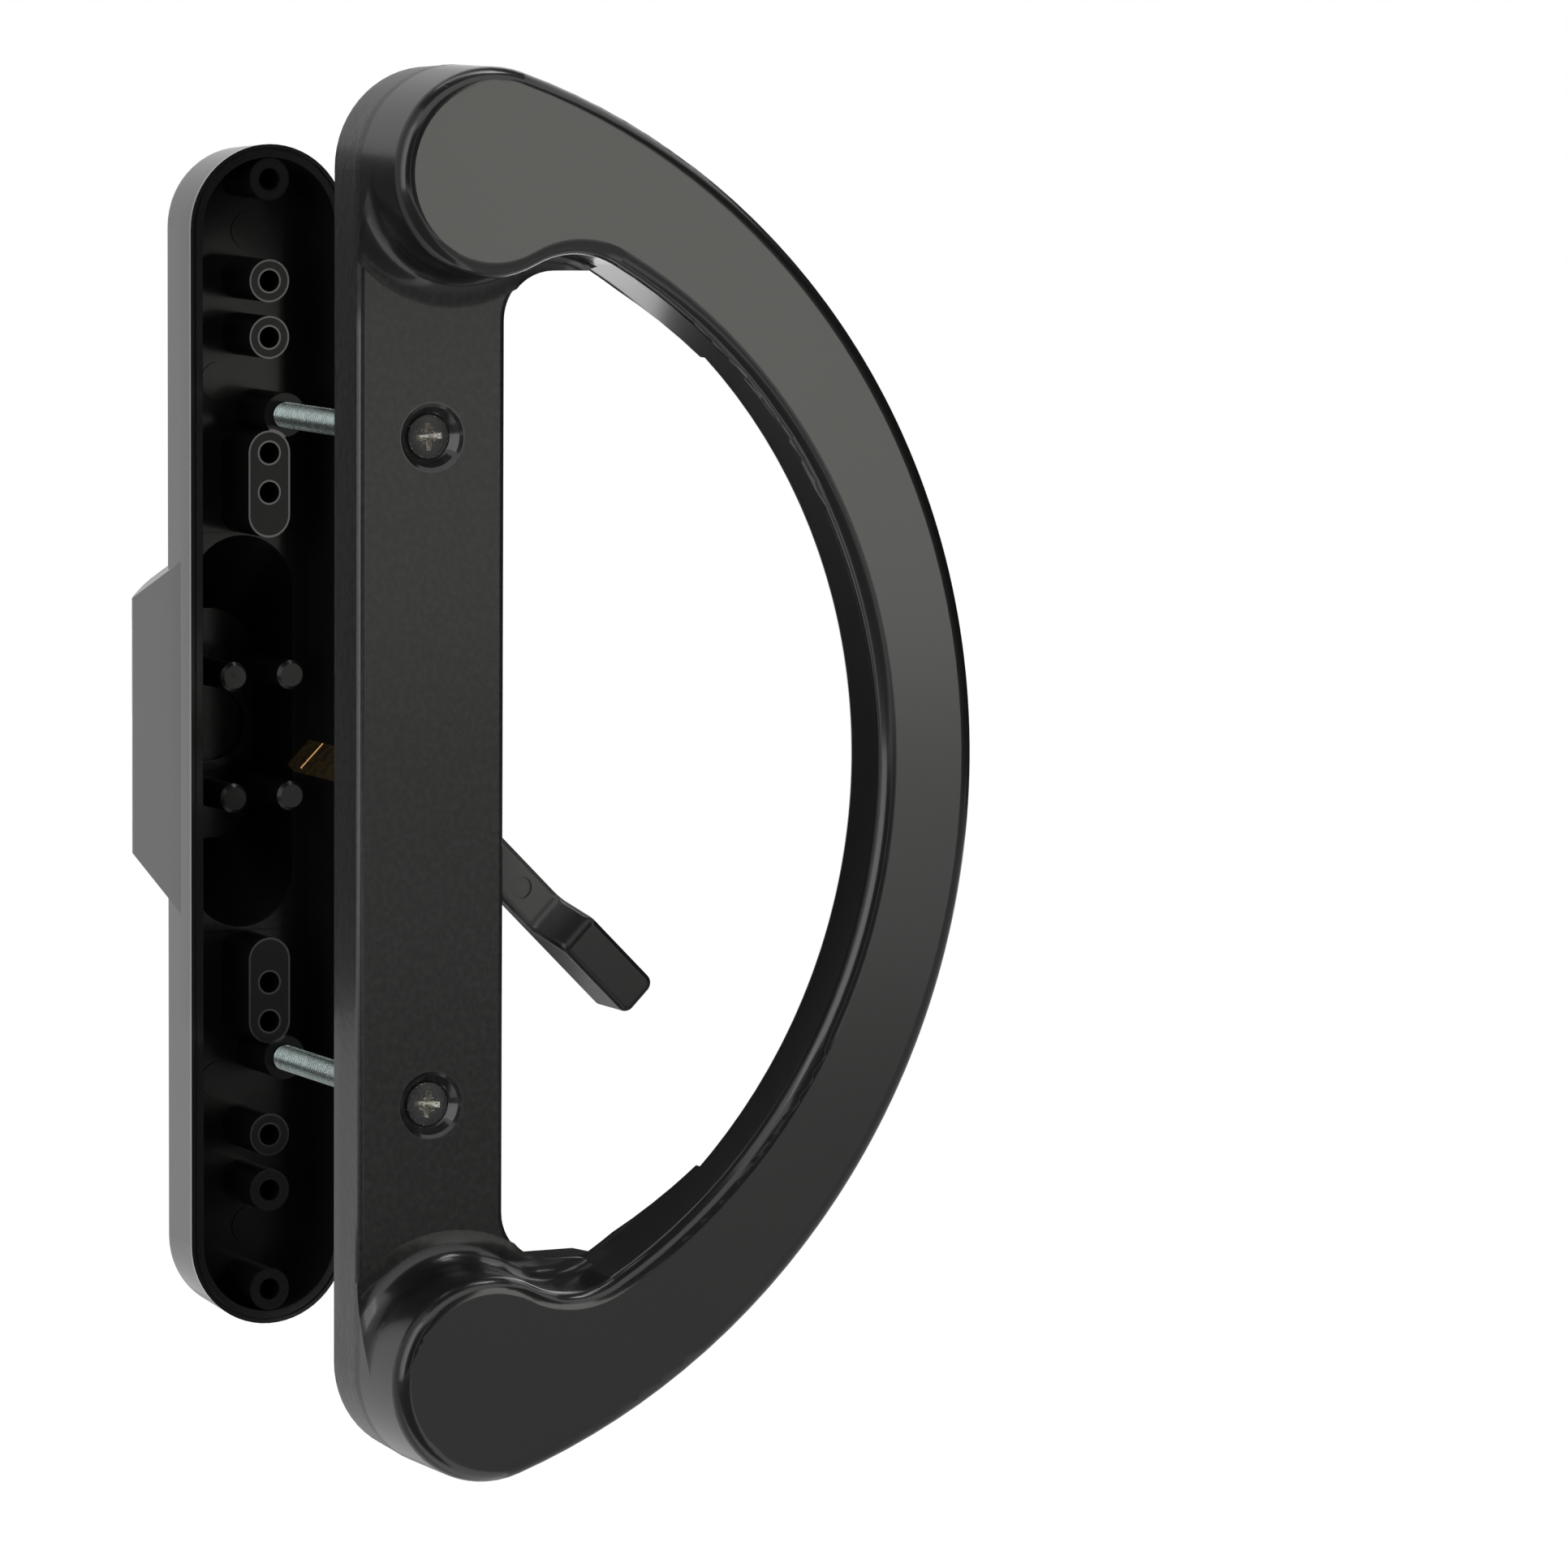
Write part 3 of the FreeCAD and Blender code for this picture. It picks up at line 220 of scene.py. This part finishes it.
base = {
    "depth": 10.0, "fade": 1.2, "gloss": 0.28, "wallGloss": 0.14, "roughness": 0.06,
    "peelSize": 2.2, "peelDetail": 2.0, "peelDepth": 0.07,
    "mottleSize": 0.9, "mottleDetail": 4.0, "mottleStretch": (1.0, 1.0, 0.8), "mottleRange": (0.35, 0.75),
    "mottle": (0.015, 0.015, 0.0147, 1),
    # the rounded ends and their side walls
    "padRadius": 15.5, "padHeight": 89.6, "padPlace": 3.5, "padFade": 0.1,
    "wallStart": 0.8, "wallEnd": 0.3, "wallOutside": 1.1, "wallFade": (-2.0, 9.0),
    # the worn front edge on the left
    "edgePlace": (-11.2, -10.8), "edgeBack": (-9.3, -8.9), "edgeFront": (-10.6, -10.2),
    "edgeEnd": (66.0, 72.0),
    # the polished seats of the screws
    "seatRadius": (4.9, 5.4),
    # the dull walls of the ears, kept free of the lighter mottle as painted shade, and the tip of the lower
    # ear
    "earPlace": (13.0, 15.0), "earFront": (-10.6, -9.8), "earStart": (52.0, 58.0), "earRoughness": 0.6,
    "tipStart": (16.0, 18.0), "tipEnd": (27.0, 28.5), "tipFront": (-15.5, -14.5),
    "tipLow": (-80.0, -78.0), "tipHigh": (-73.5, -72.0), "tipDull": 0.7, "tipRoughness": 0.25,
}


def sideWalls(skin, x, z):                   # the outer walls of the base and of its rounded ends
    radius = base["padRadius"]
    band = (radius - base["wallStart"], radius - base["wallEnd"])
    across = x - base["padPlace"] * mm
    along = abs(z) - base["padHeight"] * mm
    wall = skin.ramp(reachOf(across, skin.past(along, base["padFade"])), band)
    ringReach = reachOf(across, along)
    outside = skin.ramp(ringReach, (radius + base["wallEnd"], radius + base["wallOutside"]))
    ring = skin.ramp(ringReach, band) * (1 - outside)
    return (wall + ring - wall * ring) * (1 - skin.ramp(x, base["wallFade"]))


def gripPaint(name):                         # the base and its side walls are duller than the handled grip
    skin = Paint(name)
    x, y, z = (skin.axis(letter) for letter in "XYZ")
    low = skin.ramp(y, (-base["depth"] - base["fade"], -base["depth"]))
    wall = sideWalls(skin, x, z)
    bright = (1 - skin.ramp(x, base["edgePlace"])) * (1 - skin.ramp(y, base["edgeBack"]))
    bright = bright * skin.ramp(y, base["edgeFront"]) * (1 - skin.ramp(abs(z), base["edgeEnd"]))
    seat = 1 - skin.ramp(reachOf(x, abs(z) - screwSpots()[0][0]), base["seatRadius"])
    ear = skin.ramp(x, base["earPlace"]) * skin.ramp(y, base["earFront"])
    ear = ear * skin.ramp(abs(z), base["earStart"])
    tip = skin.ramp(x, base["tipStart"]) * (1 - skin.ramp(x, base["tipEnd"])) * skin.ramp(y, base["tipFront"])
    tip = tip * skin.ramp(z, base["tipLow"]) * (1 - skin.ramp(z, base["tipHigh"]))
    peel = skin.grain(base["peelSize"], base["peelDetail"])
    skin.height = skin.height + low * peel * base["peelDepth"]
    skin.rough = skin.rough + low * base["roughness"]
    skin.rough = skin.rough + ear * base["earRoughness"] + tip * base["tipRoughness"]
    skin.gloss = 1 - low * (1 - seat) * (1 - bright) * (1 - base["gloss"])
    skin.gloss = skin.gloss * (1 - wall * (1 - bright) * (1 - base["wallGloss"]))
    skin.gloss = skin.gloss * (1 - ear) * (1 - tip * base["tipDull"])
    mottle = skin.grain(base["mottleSize"], base["mottleDetail"], base["mottleStretch"])
    mottle = skin.step(mottle, *base["mottleRange"])
    # no mottle on the ears: painted shade there
    skin.colour = skin.blend(low * mottle * (1 - ear), skin.colour, base["mottle"])
    return skin.spray()


cast = {
    # the outside colour is painted sheen, the hollow colour is painted shade
    "outside": (0.015, 0.015, 0.0145, 1), "outsideDepth": (0.2, 1.0), "outsideDull": 0.62,
    "hollow": (0.0035, 0.0035, 0.0035, 1), "hollowReach": (11.0, 11.3), "hollowDull": 0.85, "capFade": 0.1,
    "blockDepth": (26.0, 26.5),              # the outer face of the finger block
    "wellDepth": (10.5, 11.5), "wellHalfWidth": (9.2, 9.7), "wellHalfLength": (31.0, 31.5),
    "wellRoughness": 0.06, "lumpSize": 1.5, "lumpDetail": 4.0, "lumpDepth": 0.14,
    # the bosses: places along the pull, radii, and the polished rims
    "bossPlaces": (86.3, 70.7, 62.0), "bossRadius": 3.3,
    "holePlaces": (86.3, 70.7, 62.0, 44.2, 38.1), "holeRadius": 1.65,
    "longMiddle": 39.4, "longHalf": 4.8, "longRadius": 3.45, "longFade": 0.05,
    "rimWidth": 0.35, "rimFade": 0.15, "topDepth": (0.05, 0.2), "topRoughness": 0.5,
}


def bossRims(skin, across, along):           # thin polished rims round the bosses and their holes
    width, fade = cast["rimWidth"], cast["rimFade"]

    def outerRim(middle, half, radius):
        reach = reachOf(across, skin.past(abs(along - middle * mm) - half * mm, cast["longFade"]))
        inside = skin.ramp(reach, (radius - width, radius - width + fade))
        return inside * (1 - skin.ramp(reach, (radius + fade, radius + width)))

    def holeRim(middle, radius):
        reach = reachOf(across, along - middle * mm)
        return 1 - skin.ramp(reach, (radius + width - fade, radius + width))

    rims = outerRim(cast["longMiddle"], cast["longHalf"], cast["longRadius"])
    for place in cast["bossPlaces"]:
        rims = rims + outerRim(place, 0.0, cast["bossRadius"])
    for place in cast["holePlaces"]:
        rims = rims + holeRim(place, cast["holeRadius"])
    return skin.step(rims, 0.0, 1.0)


def castPaint(name):                         # painted sheen greys the outside, painted shade darkens the dull hollow, lumpy skin in the finger well
    skin = Paint(name)
    lowest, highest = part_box("exterior_pull")
    across = abs(skin.axis("X") - (lowest.x + highest.x) / 2)
    along = abs(skin.axis("Z"))
    depth = skin.axis("Y") - lowest.y
    capEnd = (highest.z - lowest.z) / 2 - (highest.x - lowest.x) / 2
    reach = reachOf(across, skin.past(along - capEnd, cast["capFade"]))
    hollow = 1 - skin.ramp(reach, cast["hollowReach"])
    outside = skin.ramp(depth, cast["outsideDepth"]) * (1 - hollow)
    hollow = hollow * (1 - skin.ramp(depth, cast["blockDepth"]))
    well = skin.ramp(depth, cast["wellDepth"]) * hollow
    well = well * (1 - skin.ramp(across, cast["wellHalfWidth"]))
    well = well * (1 - skin.ramp(along, cast["wellHalfLength"]))
    top = hollow * (1 - skin.ramp(depth, cast["topDepth"]))
    rims = bossRims(skin, across, along) * top
    lumps = skin.grain(cast["lumpSize"], cast["lumpDetail"])
    skin.height = skin.height + well * lumps * cast["lumpDepth"]
    skin.rough = skin.rough + well * cast["wellRoughness"] + (top - rims) * cast["topRoughness"]
    skin.gloss = 1 - hollow * (1 - rims) * cast["hollowDull"] - outside * cast["outsideDull"]
    # painted sheen on the outer walls, painted shade in the hollow
    skin.colour = skin.blend(outside, skin.blend(hollow, skin.colour, cast["hollow"]), cast["outside"])
    return skin.spray()


latch = {
    # the arm's lighter colour is painted sheen
    "gloss": 0.35, "restAngle": 45.0, "armEnd": (29.0, 33.0), "paintedSheenArm": (0.05, 0.05, 0.049, 1),
}


def latchPaint(name):                        # painted sheen makes the arm greyer than the thumb pad
    skin = Paint(name)
    turn = math.radians(latch["restAngle"])
    along = skin.axis("X") * math.cos(turn) - skin.axis("Z") * math.sin(turn)
    arm = 1 - skin.ramp(along, latch["armEnd"])
    skin.gloss = latch["gloss"]
    # painted sheen lightens the arm
    skin.colour = skin.blend(arm, skin.colour, latch["paintedSheenArm"])
    return skin.spray()


dress(nodes["interior_pull"], gripPaint("blackPaint"))
dress(nodes["latch_lever"], latchPaint("blackPaintLatch"))
dress(nodes["exterior_pull"], castPaint("blackPaintCast"))
for name in ("interior_pull", "exterior_pull", "latch_lever"):
    smooth(nodes[name])
print("castings painted")


# brass blade with one bright score line

blade = {
    "brass": (0.32, 0.22, 0.10, 1), "tarnish": (0.055, 0.040, 0.022, 1), "score": (0.86, 0.52, 0.20, 1),
    "scorePlace": 5.5, "scoreHalf": (0.21, 0.336),
    "stainSize": 1.6, "stainDetail": 4.0, "stainRange": (0.30, 0.66),
    "speckSize": 0.35, "speckDetail": 2.0, "speckRange": (0.56, 0.72), "speckShare": 0.6, "speckHeight": 0.5,
    "drawnSize": 0.5, "drawnDetail": 2.0, "drawnStretch": (1.0, 0.06, 1.0), "drawnDepth": 0.02,
    "roughness": 0.34, "stainRoughness": 0.16, "scorePolish": 0.10,
}


def tarnishedBrass():
    skin = Finish("tarnishedBrass")
    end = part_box("tailpiece")[1].y
    fresh = 1 - skin.ramp(abs(skin.axis("Y") - (end - blade["scorePlace"] * mm)), blade["scoreHalf"])
    stain = skin.step(skin.grain(blade["stainSize"], blade["stainDetail"]), *blade["stainRange"])
    speck = skin.step(skin.grain(blade["speckSize"], blade["speckDetail"]), *blade["speckRange"])
    drawn = skin.grain(blade["drawnSize"], blade["drawnDetail"], blade["drawnStretch"])
    colour = skin.blend(stain * (1 - speck * blade["speckShare"]), blade["brass"], blade["tarnish"])
    return skin.coat({
        "Base Color": skin.blend(fresh, colour, blade["score"]),
        "Metallic": 1.0,
        "Roughness": blade["roughness"] + stain * blade["stainRoughness"] - fresh * blade["scorePolish"],
        "Normal": skin.bump(drawn + speck * blade["speckHeight"], blade["drawnDepth"]),
    })


dress(nodes["tailpiece"], tarnishedBrass())


# plated steel of the retainer

steel = {
    "finishes": (
        # node, material, tone, size of the drawing marks
        ("retainer_plate", "plateSteel", (0.56, 0.57, 0.58, 1), 0.4),
        ("retainer_screws", "keeperSteel", (0.60, 0.60, 0.58, 1), 0.5),
        ("spring_washer", "springSteel", (0.36, 0.36, 0.37, 1), 0.5),
    ),
    "cloudSize": 4.0, "cloudDetail": 3.0, "shade": 0.8,
    "drawnDetail": 2.0, "drawnStretch": (1.0, 1.0, 0.12), "drawnDepth": 0.012,
    "roughness": 0.30, "drawnRoughness": 0.18,
}


def platedSteel(name, tone, drawnSize):
    skin = Finish(name)
    cloud = skin.grain(steel["cloudSize"], steel["cloudDetail"])
    drawn = skin.grain(drawnSize, steel["drawnDetail"], steel["drawnStretch"])
    shaded = [steel["shade"] * part for part in tone[:3]] + [1]
    return skin.coat({
        "Base Color": skin.blend(cloud, tone, shaded),
        "Metallic": 1.0,
        "Roughness": steel["roughness"] + drawn * steel["drawnRoughness"],
        "Normal": skin.bump(drawn, steel["drawnDepth"]),
    })


for node, material, tone, drawnSize in steel["finishes"]:
    dress(nodes[node], platedSteel(material, tone, drawnSize))
    smooth(nodes[node])
print("brass and plated steel done")


# through screws: threaded shank, sunk head with a cross recess

screw = {
    "shank": 2.0, "pitch": 0.8, "perTurn": 28, "rootDepth": 0.40,
    "threadStart": 0.9, "leadIn": 1.2, "leadSlope": 0.55, "tipRadius": 1.3,
    "threadShares": (0.00, 0.38, 0.50, 0.88),                # root, crest, crest and root within one pitch
    "headSides": 64, "headRim": 0.25, "headFlat": 0.30,
    "crownDepth": 0.08, "crownInset": 0.09, "rimDepth": 0.22,
    "neckGap": 0.02, "stubLength": 2.5, "stubGap": 0.3, "sharpAngle": 30.0,
    "recessReach": 2.25, "recessTip": 0.50, "recessRoot": 0.30, "rootSpread": 1.6, "recessDepth": 1.25,
    "recessAbove": 0.3, "recessFlare": 1.06, "recessFoot": 0.42,
    "upperTurn": 0.06, "lowerTurn": -0.10,   # how far each cross is turned, in radians
}


def ringOf(mesh, axis, depth, radius, count):
    angles = [2 * math.pi * turn / count for turn in range(count)]
    return [mesh.verts.new((radius * math.cos(angle), depth, axis + radius * math.sin(angle)))
            for angle in angles]


def threadMesh(mesh, axis, start, tip, crest):
    pitch = screw["pitch"] * mm
    root = crest - screw["rootDepth"] * mm
    lead = screw["leadIn"] * mm
    profile = list(zip(screw["threadShares"], (root, crest, crest, root)))
    perTurn = screw["perTurn"]
    steps = int((tip - start) / pitch) * perTurn
    rows = []
    for step in range(steps + perTurn + 1):
        angle = 2 * math.pi * step / perTurn
        row = []
        for share, radius in profile:
            depth = min(start + (step / perTurn + share - 1) * pitch, tip)
            allowed = crest - max(0.0, depth - (tip - lead)) * screw["leadSlope"]
            reach = min(radius, allowed)
            row.append(mesh.verts.new((reach * math.cos(angle), depth, axis + reach * math.sin(angle))))
        rows.append(row)
    for step in range(len(rows) - 1):
        here, following = rows[step], rows[step + 1]
        for index in range(3):
            mesh.faces.new((here[index], here[index + 1], following[index + 1], following[index]))
        if step + perTurn + 1 < len(rows):
            nextTurn, afterThat = rows[step + perTurn], rows[step + perTurn + 1]
            mesh.faces.new((here[3], nextTurn[0], afterThat[0], following[3]))
    cap = mesh.verts.new((0, tip, axis))
    ring = ringOf(mesh, axis, tip, screw["tipRadius"] * mm, perTurn)
    for turn in range(perTurn):
        mesh.faces.new((cap, ring[turn], ring[(turn + 1) % perTurn]))


def turnedMesh(mesh, axis, profile):
    sides = screw["headSides"]
    rings = [ringOf(mesh, axis, depth, radius, sides) for depth, radius in profile]
    for here, following in zip(rings, rings[1:]):
        for side in range(sides):
            beside = (side + 1) % sides
            mesh.faces.new((here[side], here[beside], following[beside], following[side]))
    mesh.faces.new(rings[0])
    mesh.faces.new(list(reversed(rings[-1])))


def crossMesh(mesh, axis, top, turn):        # four wings that narrow towards the bottom
    reach, tipHalf, rootHalf = (screw[key] * mm for key in ("recessReach", "recessTip", "recessRoot"))
    corner = screw["rootSpread"] * rootHalf
    outline = []
    for wing in range(4):
        angle = turn + wing * math.pi / 2
        for along, aside in ((reach, -tipHalf), (reach, tipHalf), (corner, corner)):
            x = along * math.cos(angle) - aside * math.sin(angle)
            z = along * math.sin(angle) + aside * math.cos(angle)
            outline.append((x, z))

    def outlineAt(depth, share):
        return [mesh.verts.new((x * share, depth, axis + z * share)) for x, z in outline]

    upper = outlineAt(top - screw["recessAbove"] * mm, screw["recessFlare"])
    lower = outlineAt(top + screw["recessDepth"] * mm, screw["recessFoot"])
    for index in range(len(outline)):
        beside = (index + 1) % len(outline)
        mesh.faces.new((upper[index], upper[beside], lower[beside], lower[index]))
    mesh.faces.new(upper)
    mesh.faces.new(list(reversed(lower)))


def meshPiece(name, fill):
    mesh = bmesh.new()
    fill(mesh)
    bmesh.ops.recalc_face_normals(mesh, faces=mesh.faces)
    data = bpy.data.meshes.new(name)
    mesh.to_mesh(data)
    mesh.free()
    piece = bpy.data.objects.new(name, data)
    bpy.context.scene.collection.objects.link(piece)
    return piece


def cutAway(piece, cutter):                  # leaves the finished mesh and no modifier
    cut = piece.modifiers.new("recess", "BOOLEAN")
    cut.object = cutter
    cut.solver = "EXACT"
    result = bpy.data.meshes.new_from_object(piece.evaluated_get(bpy.context.evaluated_depsgraph_get()))
    piece.modifiers.clear()
    piece.data = result
    bpy.data.objects.remove(cutter)


screwCoat = {
    "zinc": (0.33, 0.39, 0.375, 1), "zincDull": (0.13, 0.16, 0.155, 1), "bare": (0.72, 0.70, 0.64, 1),
    "paint": (0.016, 0.016, 0.016, 1), "paintWorn": (0.050, 0.050, 0.050, 1), "wornRange": (0.45, 0.75),
    "scuffSize": 0.22, "scuffDetail": 3.0, "scuffDepth": 0.03,
    "cloudSize": 1.2, "cloudDetail": 3.0,
    "neckEnd": (10.7, 11.3), "neckWander": 1.6,              # where the black ends on the shank
    # chips in and near the recess and on the rim of the head
    "recessDepth": (0.02, 0.10), "recessEnd": (1.5, 1.7), "recessReach": (2.05, 2.25),
    "nearReach": (1.2, 2.3), "rimReach": (3.02, 3.2), "rimDepth": (0.22, 0.3),
    "recessLift": 0.15, "nearLift": 0.05, "chipRange": (0.60, 0.66),
    "recessShare": 0.9, "nearShare": 0.35, "rimShare": 0.5, "shareRange": (0.15, 0.6),
    "roughness": 0.26, "paintRoughness": 0.16, "bareRoughness": 0.20, "scuffRoughness": 0.12,
}


def screwFinish(name, axis, headTop):
    skin = Finish(name)
    depth = skin.axis("Y") - headTop
    radius = reachOf(skin.axis("X"), abs(skin.axis("Z")) - axis)
    scuff = skin.grain(screwCoat["scuffSize"], screwCoat["scuffDetail"])
    cloud = skin.grain(screwCoat["cloudSize"], screwCoat["cloudDetail"])
    wander = (cloud - noiseMiddle) * (screwCoat["neckWander"] * mm)
    painted = 1 - skin.ramp(depth + wander, screwCoat["neckEnd"])
    inRecess = skin.ramp(depth, screwCoat["recessDepth"]) * (1 - skin.ramp(depth, screwCoat["recessEnd"]))
    inRecess = inRecess * (1 - skin.ramp(radius, screwCoat["recessReach"]))
    nearRecess = 1 - skin.ramp(radius, screwCoat["nearReach"])
    rim = skin.ramp(radius, screwCoat["rimReach"]) * (1 - skin.ramp(depth, screwCoat["rimDepth"]))
    chip = scuff + inRecess * screwCoat["recessLift"] + nearRecess * screwCoat["nearLift"]
    share = inRecess * screwCoat["recessShare"] + nearRecess * screwCoat["nearShare"]
    share = share + rim * screwCoat["rimShare"]
    chip = skin.step(skin.step(chip, *screwCoat["chipRange"]) * share, *screwCoat["shareRange"])
    black = painted * (1 - chip)
    zinc = skin.blend(cloud, screwCoat["zinc"], screwCoat["zincDull"])
    bare = skin.blend(painted, zinc, screwCoat["bare"])
    coat = skin.blend(skin.step(scuff, *screwCoat["wornRange"]), screwCoat["paint"], screwCoat["paintWorn"])
    rough = screwCoat["roughness"] + black * screwCoat["paintRoughness"]
    rough = rough + (painted - black) * screwCoat["bareRoughness"]
    return skin.coat({
        "Base Color": skin.blend(black, bare, coat),
        "Metallic": 1 - black,
        "Roughness": rough + (scuff - noiseMiddle) * screwCoat["scuffRoughness"],
        "Normal": skin.bump(scuff, screwCoat["scuffDepth"]),
    })


def throughScrews():
    axes, headTop, tip, rim = screwSpots()
    shank = screw["shank"] * mm
    shoulder = headTop + screw["headFlat"] * mm
    neck = shoulder + rim - shank
    threadStart = neck + screw["threadStart"] * mm
    headProfile = (
        (headTop, rim - screw["headRim"] * mm),
        (headTop + screw["crownDepth"] * mm, rim - screw["crownInset"] * mm),
        (headTop + screw["rimDepth"] * mm, rim),
        (shoulder, rim),
        (neck, shank - screw["neckGap"] * mm),
        (neck + screw["stubLength"] * mm, shank - screw["stubGap"] * mm),
    )
    material = screwFinish("blackAndZinc", axes[0], headTop)
    turns = (screw["upperTurn"], screw["lowerTurn"])
    for label, axis, turn in zip(("screwUpper", "screwLower"), axes, turns):
        head = meshPiece(label + "Head", lambda mesh: turnedMesh(mesh, axis, headProfile))
        cutter = meshPiece(label + "Cutter", lambda mesh: crossMesh(mesh, axis, headTop, turn))
        bpy.context.view_layer.update()
        cutAway(head, cutter)
        thread = meshPiece(label + "Thread", lambda mesh: threadMesh(mesh, axis, threadStart, tip, shank))
        for piece in (head, thread):
            dress(piece, material)
            smooth(piece, screw["sharpAngle"])
            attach(piece, "handle")
            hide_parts("mounting_screws")


throughScrews()
print("through screws threaded")


# camera, worked out for the photograph's frame

view = {
    "framePixels": 1932, "focalPixels": 10299.6, "sensor": 36.0, "clipStart": 50.0,
    "target": (58.56, -10.0, -4.15), "distance": 1271.0,
    "yaw": 26.37, "pitch": 6.15, "roll": 0.37,               # in degrees
}


def placeCamera():
    yaw, pitch, roll = (math.radians(view[key]) for key in ("yaw", "pitch", "roll"))
    ahead = Vector((math.sin(yaw) * math.cos(pitch), math.cos(yaw) * math.cos(pitch), -math.sin(pitch)))
    right = Vector((math.cos(yaw), -math.sin(yaw), 0))
    up = right.cross(ahead)
    tiltedRight = math.cos(roll) * right + math.sin(roll) * up
    tiltedUp = math.cos(roll) * up - math.sin(roll) * right
    spot = Vector(view["target"]) * mm - ahead * view["distance"] * mm
    data = bpy.data.cameras.new("camera")
    data.sensor_width = view["sensor"]
    data.lens = view["focalPixels"] / view["framePixels"] * view["sensor"]
    data.clip_start = view["clipStart"] * mm
    camera = bpy.data.objects.new("camera", data)
    turn = Matrix((tiltedRight, tiltedUp, -ahead)).transposed()
    camera.matrix_world = Matrix.Translation(spot) @ turn.to_4x4()
    bpy.context.scene.collection.objects.link(camera)
    bpy.context.scene.camera = camera


placeCamera()


# studio: white surroundings, pale floor, soft boxes, dark flags

studio = {
    "fill": 0.55,                            # surroundings as seen by the matt part of a surface
    "floorDrop": 60.0, "floorSize": 6000.0, "floorTone": (0.80, 0.80, 0.80, 1), "floorShade": 0.12,
    "floorGlow": 1.085,                      # as white as the surroundings where no shadow falls
    "boxes": (
        # name, place, aim, width, height, watts, colour
        ("frontBox", (470, -950, 198), (20, 0, 20), 300, 590, 0.70, (0.99, 1.0, 0.88)),
        ("leftBox", (-950, -430, 250), (0, 0, 0), 800, 1000, 5.0, (1, 1, 1)),
        ("topBox", (100, 100, 1000), (20, 0, 0), 1000, 240, 4.0, (1, 1, 1)),
    ),
    "flags": (
        # name, place, aim, width, height, tone
        ("cameraFlag", (-690, -1400, 150), (20, 0, 0), 800, 1200, 0.004),
        ("frontFlag", (128, -1313, 150), (60, 0, 0), 640, 1200, 0.004),
        ("sideFlag", (1068, -670, 100), (60, 0, 0), 1080, 1500, 0.004),
        ("rightFlag", (950, 260, 120), (60, 0, 0), 1100, 900, 0.004),
        ("leftFlag", (-1150, -520, 40), (0, 0, 0), 1150, 1700, 0.004),
        ("topFlag", (100, 100, 1150), (100, 100, 0), 1800, 1400, 0.004),
        ("gripFlag", (38, 56, -13), (38, 0, -13), 36, 98, 0.004),
        ("wallFlag", (-66, 62, 27), (-66, 0, 27), 88, 146, 0.04),
        ("lowFlag", (570, -290, -158), (570, -290, 0), 1060, 1180, 0.44),
        ("leftLowFlag", (-450, -480, -158), (-450, -480, 0), 900, 840, 0.12),
    ),
}


def buildWorld():
    world = bpy.data.worlds.new("surroundings")
    bpy.context.scene.world = world
    world.use_nodes = True
    graph = Graph(world.node_tree)
    levels = {"Value": graph.seenDirectly(), "To Min": studio["fill"], "To Max": 1.0}
    strength = graph.node("ShaderNodeMapRange", {}, levels)
    sky = graph.node("ShaderNodeBackground", {}, {"Color": (1, 1, 1, 1), "Strength": strength})
    graph.node("ShaderNodeOutputWorld", {}, {"Surface": sky})


def facing(place, aim):                      # the turn of a sheet or lamp that faces a point
    return (Vector(aim) - Vector(place)).to_track_quat("-Z", "Y")


def sheet(name, place, aim, width, height):  # a flat rectangle that faces a point
    half = (width / 2, height / 2)
    corners = [(-half[0], -half[1]), (half[0], -half[1]), (half[0], half[1]), (-half[0], half[1])]
    turn = facing(place, aim).to_matrix()
    spots = [(Vector(place) + turn @ Vector((x, y, 0))) * mm for x, y in corners]
    return meshPiece(name, lambda mesh: mesh.faces.new([mesh.verts.new(spot) for spot in spots]))


def buildFloor():
    drop = cadBox[0][2] / mm - studio["floorDrop"]
    floor = sheet("floor", (0, 0, drop), (0, 0, drop - 1), studio["floorSize"], studio["floorSize"])
    skin = Finish("paleFloor")
    share = skin.seenDirectly() * (1 - studio["floorShade"])
    matt = skin.node("ShaderNodeBsdfDiffuse", {}, {"Color": studio["floorTone"]})
    white = skin.node("ShaderNodeEmission", {}, {"Color": (1, 1, 1, 1), "Strength": studio["floorGlow"]})
    mixed = skin.node("ShaderNodeMixShader", {}, {0: share, 1: matt, 2: white})
    dress(floor, skin.show(mixed))


def hangBoxes():
    for name, place, aim, width, height, watts, colour in studio["boxes"]:
        data = bpy.data.lights.new(name, "AREA")
        data.shape = "RECTANGLE"
        data.size = width * mm
        data.size_y = height * mm
        data.energy = watts
        data.color = colour
        lamp = bpy.data.objects.new(name, data)
        lamp.location = Vector(place) * mm
        lamp.rotation_euler = facing(place, aim).to_euler()
        bpy.context.scene.collection.objects.link(lamp)


def hangFlags():                             # dark sheets, seen in reflections only
    for name, place, aim, width, height, tone in studio["flags"]:
        skin = Finish(name)
        flag = sheet(name, place, aim, width, height)
        dress(flag, skin.show(skin.node("ShaderNodeBsdfDiffuse", {}, {"Color": (tone, tone, tone, 1)})))
        flag.visible_camera = False
        flag.visible_diffuse = False
        flag.visible_shadow = False


buildWorld()
buildFloor()
hangBoxes()
hangFlags()
bpy.context.scene.view_settings.view_transform = "Standard"
print("studio and camera ready")
